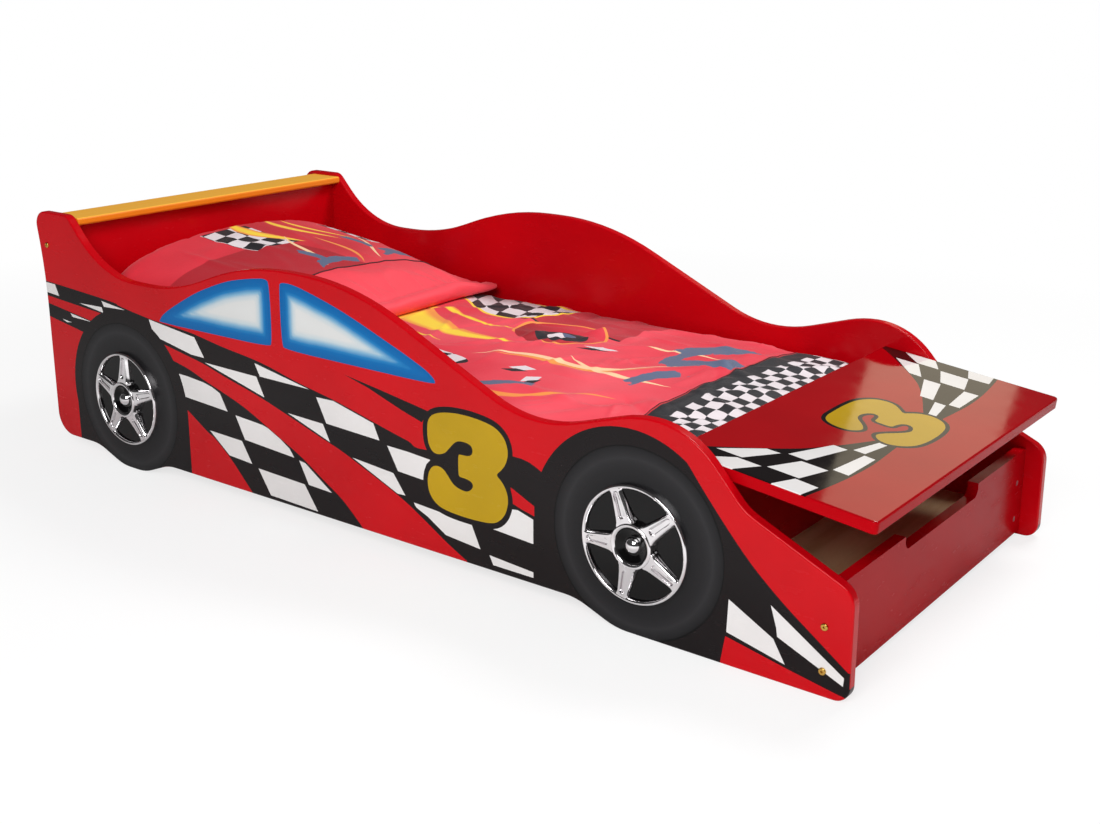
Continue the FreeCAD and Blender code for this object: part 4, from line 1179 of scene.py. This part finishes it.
def eared(made):
    """Draws the pillow's front corners out to flat points."""
    co = coordinates(made.data)
    out = np.clip((np.abs(co[:, 1]) - 0.22) / 0.115, 0.0, 1.0)
    ahead = np.clip((co[:, 0] + 0.42) / 0.10, 0.0, 1.0)
    share = eased(out) * eased(ahead)
    co[:, 0] += 0.026 * share
    co[:, 2] = 0.2905 + (co[:, 2] - 0.2905) * (1.0 - 0.55 * share)
    set_coordinates(made.data, co)


mattress = remeshed(copy_of("mattress_cover", "mattress"), 0.012)
finish_soft(mattress, ticking("mattress_ticking"), "mattress")

duvet = remeshed(copy_of("duvet_cover", "duvet"), 0.008)
puffed(duvet, 3.0, 0.006)
duvet = finer(duvet)
crumple(duvet, 64, 3, (-0.30, -0.34), (0.52, 0.34), 0.9, height=0.0068)
crumple(duvet, 54, 9, (-0.28, -0.33), (0.45, 0.33), 0.7, height=0.0052, swell=0.0, reach=(0.05, 0.17),
        thin=(0.0032, 0.0052), sway=0.8)
crumple(duvet, 14, 5, (0.43, -0.32), (0.50, 0.32), 1.2, height=0.0045, swell=0.0, reach=(0.06, 0.12),
        thin=(0.006, 0.010))
held_in(duvet, (-0.405, -0.3545, 0.2402), (0.5845, 0.3545, 0.305))
pressed(duvet, -0.300, -0.27, 0.2826)
finish_soft(duvet, duvet_print_and_painted_shadow("duvet_print_and_painted_shadow"), "duvet")

pillow = remeshed(copy_of("pillow_cover", "pillow"), 0.007)
puffed(pillow, 4.0, 0.005, calm_from=-0.34, calm_to=-0.31)
pillow = finer(pillow)
eared(pillow)
crumple(pillow, 20, 7, (-0.72, -0.30), (-0.46, 0.30), 0.3, height=0.004)
crumple(pillow, 30, 11, (-0.325, -0.33), (-0.305, 0.33), math.pi, height=0.0042, swell=0.0,
        reach=(0.05, 0.13), thin=(0.0026, 0.0045), sway=0.3)
held_in(pillow, (-0.8168, -0.3552, 0.2402), (-0.290, 0.3552, 0.440))
finish_soft(pillow, pillow_print_and_painted_light("pillow_print_and_painted_light"), "pillow")


def seam(name, cover, path, radius, material):
    """A thin welt that follows the cover's surface under the points of the path."""
    tree = BVHTree.FromObject(cover, bpy.context.evaluated_depsgraph_get())
    line = []
    for x, y in path:
        place, normal, _, _ = tree.ray_cast(Vector((x, y, 1.0)), Vector((0, 0, -1)))
        if place is not None:
            line.append(place + normal * radius * 0.3)
    points, faces = [], []
    for p, last, following in zip(line, line[:1] + line, line[1:] + line[-1:]):
        ahead = (following - last).normalized()
        across = ahead.cross(Vector((0, 0, 1))).normalized()
        upward = across.cross(ahead)
        first = len(points)
        for k in range(WELT_SIDES):
            turn = math.tau * k / WELT_SIDES
            points.append(p + across * radius * math.cos(turn) + upward * radius * math.sin(turn))
            if first:
                a, b = first + k, first + (k + 1) % WELT_SIDES
                faces.append((a - WELT_SIDES, b - WELT_SIDES, b, a))
    faces.append(tuple(range(WELT_SIDES - 1, -1, -1)))
    faces.append(tuple(range(len(points) - WELT_SIDES, len(points))))
    made = linked(name, smooth_mesh(name, points, faces, [material]))
    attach(made, "bed")


def thread(name, colour):
    """Twisted sewing thread."""
    t = Tree(name)
    twist = t.wave(t.coords(), 160.0, "DIAGONAL")
    colour = linear(colour)
    return t.set(Base_Color=t.mix(t.remap(twist, 0.0, 0.3), colour, darker(colour, 0.5)),
                 Roughness=t.remap(twist, 0.7, 0.85), Normal=t.bump(twist, 0.3, 0.0005))


across_bed = [i * 0.006 - 0.324 for i in range(109)]
seam("pillow_piping", pillow, [(PILLOW_PIPING + 0.004 * math.sin(y * 9.0), y) for y in across_bed], 0.0016,
     thread("piping_thread", (70, 24, 34)))
seam("duvet_hem_seam", duvet, [(DUVET_FOOT - 0.148 + 0.002 * math.sin(y * 14.0), y) for y in across_bed],
     0.0008, thread("hem_thread", (60, 24, 30)))


# ---------------------------------------------------------------- wheel trims

RIM_IN, HUB_OUT = 0.086, 0.0355
SPOKE_ROWS, SPOKE_COLUMNS = 93, 45
SPOKE_BEVEL = 0.0042
GROOVE_START, GROOVE_END = 0.0475, 0.0795
RIM_PROFILE = ((0.0930, 0.0), (0.0930, 0.0052), (0.0927, 0.0068), (0.0918, 0.0082), (0.0903, 0.0090),
               (0.0888, 0.0088), (0.0874, 0.0078), (0.0864, 0.0062), (0.0860, 0.0045), (0.0860, 0.0))
HUB_PROFILE = ((0.0355, 0.0012), (0.0355, 0.0118), (0.0352, 0.0134), (0.0343, 0.0146), (0.0330, 0.0150),
               (0.0312, 0.0147), (0.0296, 0.0138), (0.0284, 0.0122), (0.0280, 0.0105), (0.0280, 0.0030))


def add_bands(faces, start, bands, rows, columns):
    """Joins a grid of points into bands of faces. After its last row comes its first one."""
    for i in range(bands):
        for k in range(columns - 1):
            a, b = (start + row % rows * columns + k for row in (i, i + 1))
            faces.append((a, b, b + 1, a + 1))


def add_ring(profile, count, points, faces):
    """Adds a turned ring; profile is a list of (radius, height)."""
    add_bands(faces, len(points), count, count, len(profile))
    for i in range(count):
        c, s = math.cos(math.tau * i / count), math.sin(math.tau * i / count)
        points.extend((r * c, r * s, h) for r, h in profile)


def held(value):
    """The value kept from 0 to 1."""
    return min(max(value, 0.0), 1.0)


def spoke_height(r, across, half):
    """Height of a spoke's surface at that radius and distance from its middle line."""
    crown = 0.0084 + 0.0042 * max(0.0, 1.0 - (r - HUB_OUT) / (RIM_IN - HUB_OUT)) ** 1.4
    edge = held((half - abs(across)) / SPOKE_BEVEL)
    height = 0.0026 + (crown - 0.0026) * (0.25 + 0.75 * math.sin(edge * math.pi / 2))
    beyond = max(GROOVE_START - r, r - GROOVE_END, 0.0)
    share = held((r - GROOVE_START) / (GROOVE_END - GROOVE_START))
    groove = (0.0052 - 0.0012 * share) - math.hypot(beyond, across)
    lip = eased(held(1.0 - abs(groove + 0.0002) / 0.0009)) * 0.0004
    return height - 0.0032 * eased(held(groove / 0.0012)) + lip


def add_spoke(angle, points, faces):
    """Adds a grooved spoke that flares into the hub and the rim, with a skirt down each of its sides."""
    start = len(points)
    for i in range(SPOKE_ROWS):
        r = 0.0325 + (0.0895 - 0.0325) * i / (SPOKE_ROWS - 1)
        half = 0.0155 + (0.0098 - 0.0155) * (r - HUB_OUT) / (RIM_IN - HUB_OUT)
        half += (0.0022 * math.exp(-max(0.0, RIM_IN - r) / 0.0022)
                 + 0.002 * math.exp(-max(0.0, r - HUB_OUT) / 0.003))
        for k in range(SPOKE_COLUMNS):
            across = half * (2 * k / (SPOKE_COLUMNS - 1) - 1)
            points.append((r * math.cos(angle) - across * math.sin(angle),
                           r * math.sin(angle) + across * math.cos(angle), spoke_height(r, across, half)))
    add_bands(faces, start, SPOKE_ROWS - 1, SPOKE_ROWS, SPOKE_COLUMNS)
    for k in (0, SPOKE_COLUMNS - 1):
        low = len(points)
        upper = [start + i * SPOKE_COLUMNS + k for i in range(SPOKE_ROWS)]
        points.extend([(*points[a][:2], 0.0012) for a in upper])
        for i, (a, b) in enumerate(zip(upper, upper[1:])):
            faces.append((a, b, low + i + 1, low + i))


def rim(name, hub_x, side, first_angle, node):
    """A chrome trim on one side's face: an outer ring, a hub ring and five spokes."""
    points, faces = [], []
    add_ring(RIM_PROFILE, 144, points, faces)
    add_ring(HUB_PROFILE, 112, points, faces)
    for k in range(5):
        add_spoke(math.radians(first_angle + 72.0 * k), points, faces)
    placed = [(hub_x + x, side * (PANEL_OUT + h), HUB_Z + z) for x, z, h in points]
    if side < 0:
        faces = [f[::-1] for f in faces]
    mesh = smooth_mesh(name, placed, faces, [chrome])
    mesh.set_sharp_from_angle(angle=math.radians(50))
    made = linked(name, mesh)
    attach(made, "bed")
    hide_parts(node)


for label, hub_x, angle in (("front", FRONT_HUB, 41.0), ("rear", REAR_HUB, 88.0)):
    for side_name, side in (("right", -1.0), ("left", 1.0)):
        rim("rim_" + label + "_" + side_name, hub_x, side, angle, "wheel_rim_" + label + "_" + side_name)


# ---------------------------------------------------------------- floor, light and camera

def floor_paint():
    """Takes the bed's shadow, and fades away from it to plain white as seen by the camera."""
    t = Tree("floor_white")
    t.set(Base_Color=linear((250, 250, 250)), Roughness=0.9, Specular_IOR_Level=0.0)
    path = t.node("LightPath").outputs
    glow = t.node("Emission", Color=(1, 1, 1, 1), Strength=1.0)
    seen = E(t, path["Is Camera Ray"]).max(E(t, path["Is Transmission Ray"]))
    x, y, _ = t.split(t.coords())
    away = t.remap((x * x + y * y * 1.3).sqrt(), 0.74, 1.0, 0.7, 2.8)
    blend = t.nodes.new("ShaderNodeMixShader")
    for place, value in enumerate((seen * away, t.shader.outputs[0], glow.outputs[0])):
        t.put(blend.inputs[place], value)
    t.put(t.nodes["Material Output"].inputs["Surface"], blend.outputs[0])
    return t.owner


def backdrop():
    """A pale floor: white as seen by the camera, with the object's shadow left on it."""
    corners = [(a * FLOOR_HALF, b * FLOOR_HALF, 0) for a, b in ((-1, -1), (1, -1), (1, 1), (-1, 1))]
    floor = linked("floor", smooth_mesh("floor", corners, [(0, 1, 2, 3)], [floor_paint()]))
    floor.location.z = -0.0005


def lamp(name, place, target, size, power, colour=(1, 1, 1)):
    """A rectangular lamp at that place, turned to its target."""
    data = bpy.data.lights.new(name, "AREA")
    data.shape = "RECTANGLE"
    data.size, data.size_y = size
    data.energy = power
    data.color = colour
    made = linked(name, data)
    made.location = place
    made.visible_camera = False
    made.rotation_euler = (Vector(target) - Vector(place)).to_track_quat("-Z", "Y").to_euler()


def sky():
    """White as seen by the camera, dim as light, and dimmer still in reflections."""
    t = Tree("studio", "worlds")
    bpy.context.scene.world = t.owner
    path = t.node("LightPath").outputs
    dim = E(t, path["Is Glossy Ray"]) * -0.2 + 0.26
    t.put_all(t.nodes["Background"], {"Strength": t.remap(path["Is Camera Ray"], dim, 1.0),
                                      "Color": (1, 1, 1, 1)})


def camera():
    """The photo's view."""
    azimuth, elevation, roll = math.radians(37.43), math.radians(15.18), math.radians(-0.02)
    back = Vector((math.sin(azimuth) * math.cos(elevation), -math.cos(azimuth) * math.cos(elevation),
                   math.sin(elevation)))
    data = bpy.data.cameras.new("camera")
    data.sensor_width = 36.0
    data.lens = 46.80
    data.shift_y = -0.056
    made = linked("camera", data)
    made.rotation_mode = "QUATERNION"
    made.rotation_quaternion = back.to_track_quat("Z", "Y") @ Matrix.Rotation(roll, 3, "Z").to_quaternion()
    made.location = (1.6340, -2.0025, 0.9710)
    bpy.context.scene.camera = made


backdrop()
lamp("key", (1.4, -2.9, 2.2), (0.2, 0.0, 0.15), (1.8, 1.4), 94.0)
lamp("top", (0.9, 1.5, 2.8), (0.0, 0.0, 0.25), (0.9, 0.9), 58.0)
lamp("card", (-0.42, 4.0, 2.05), (0.7, 0.0, 0.3), (0.66, 1.4), 2.9, (1.0, 0.87, 0.64))
sky()
camera()
bpy.context.scene.view_settings.view_transform = "Standard"
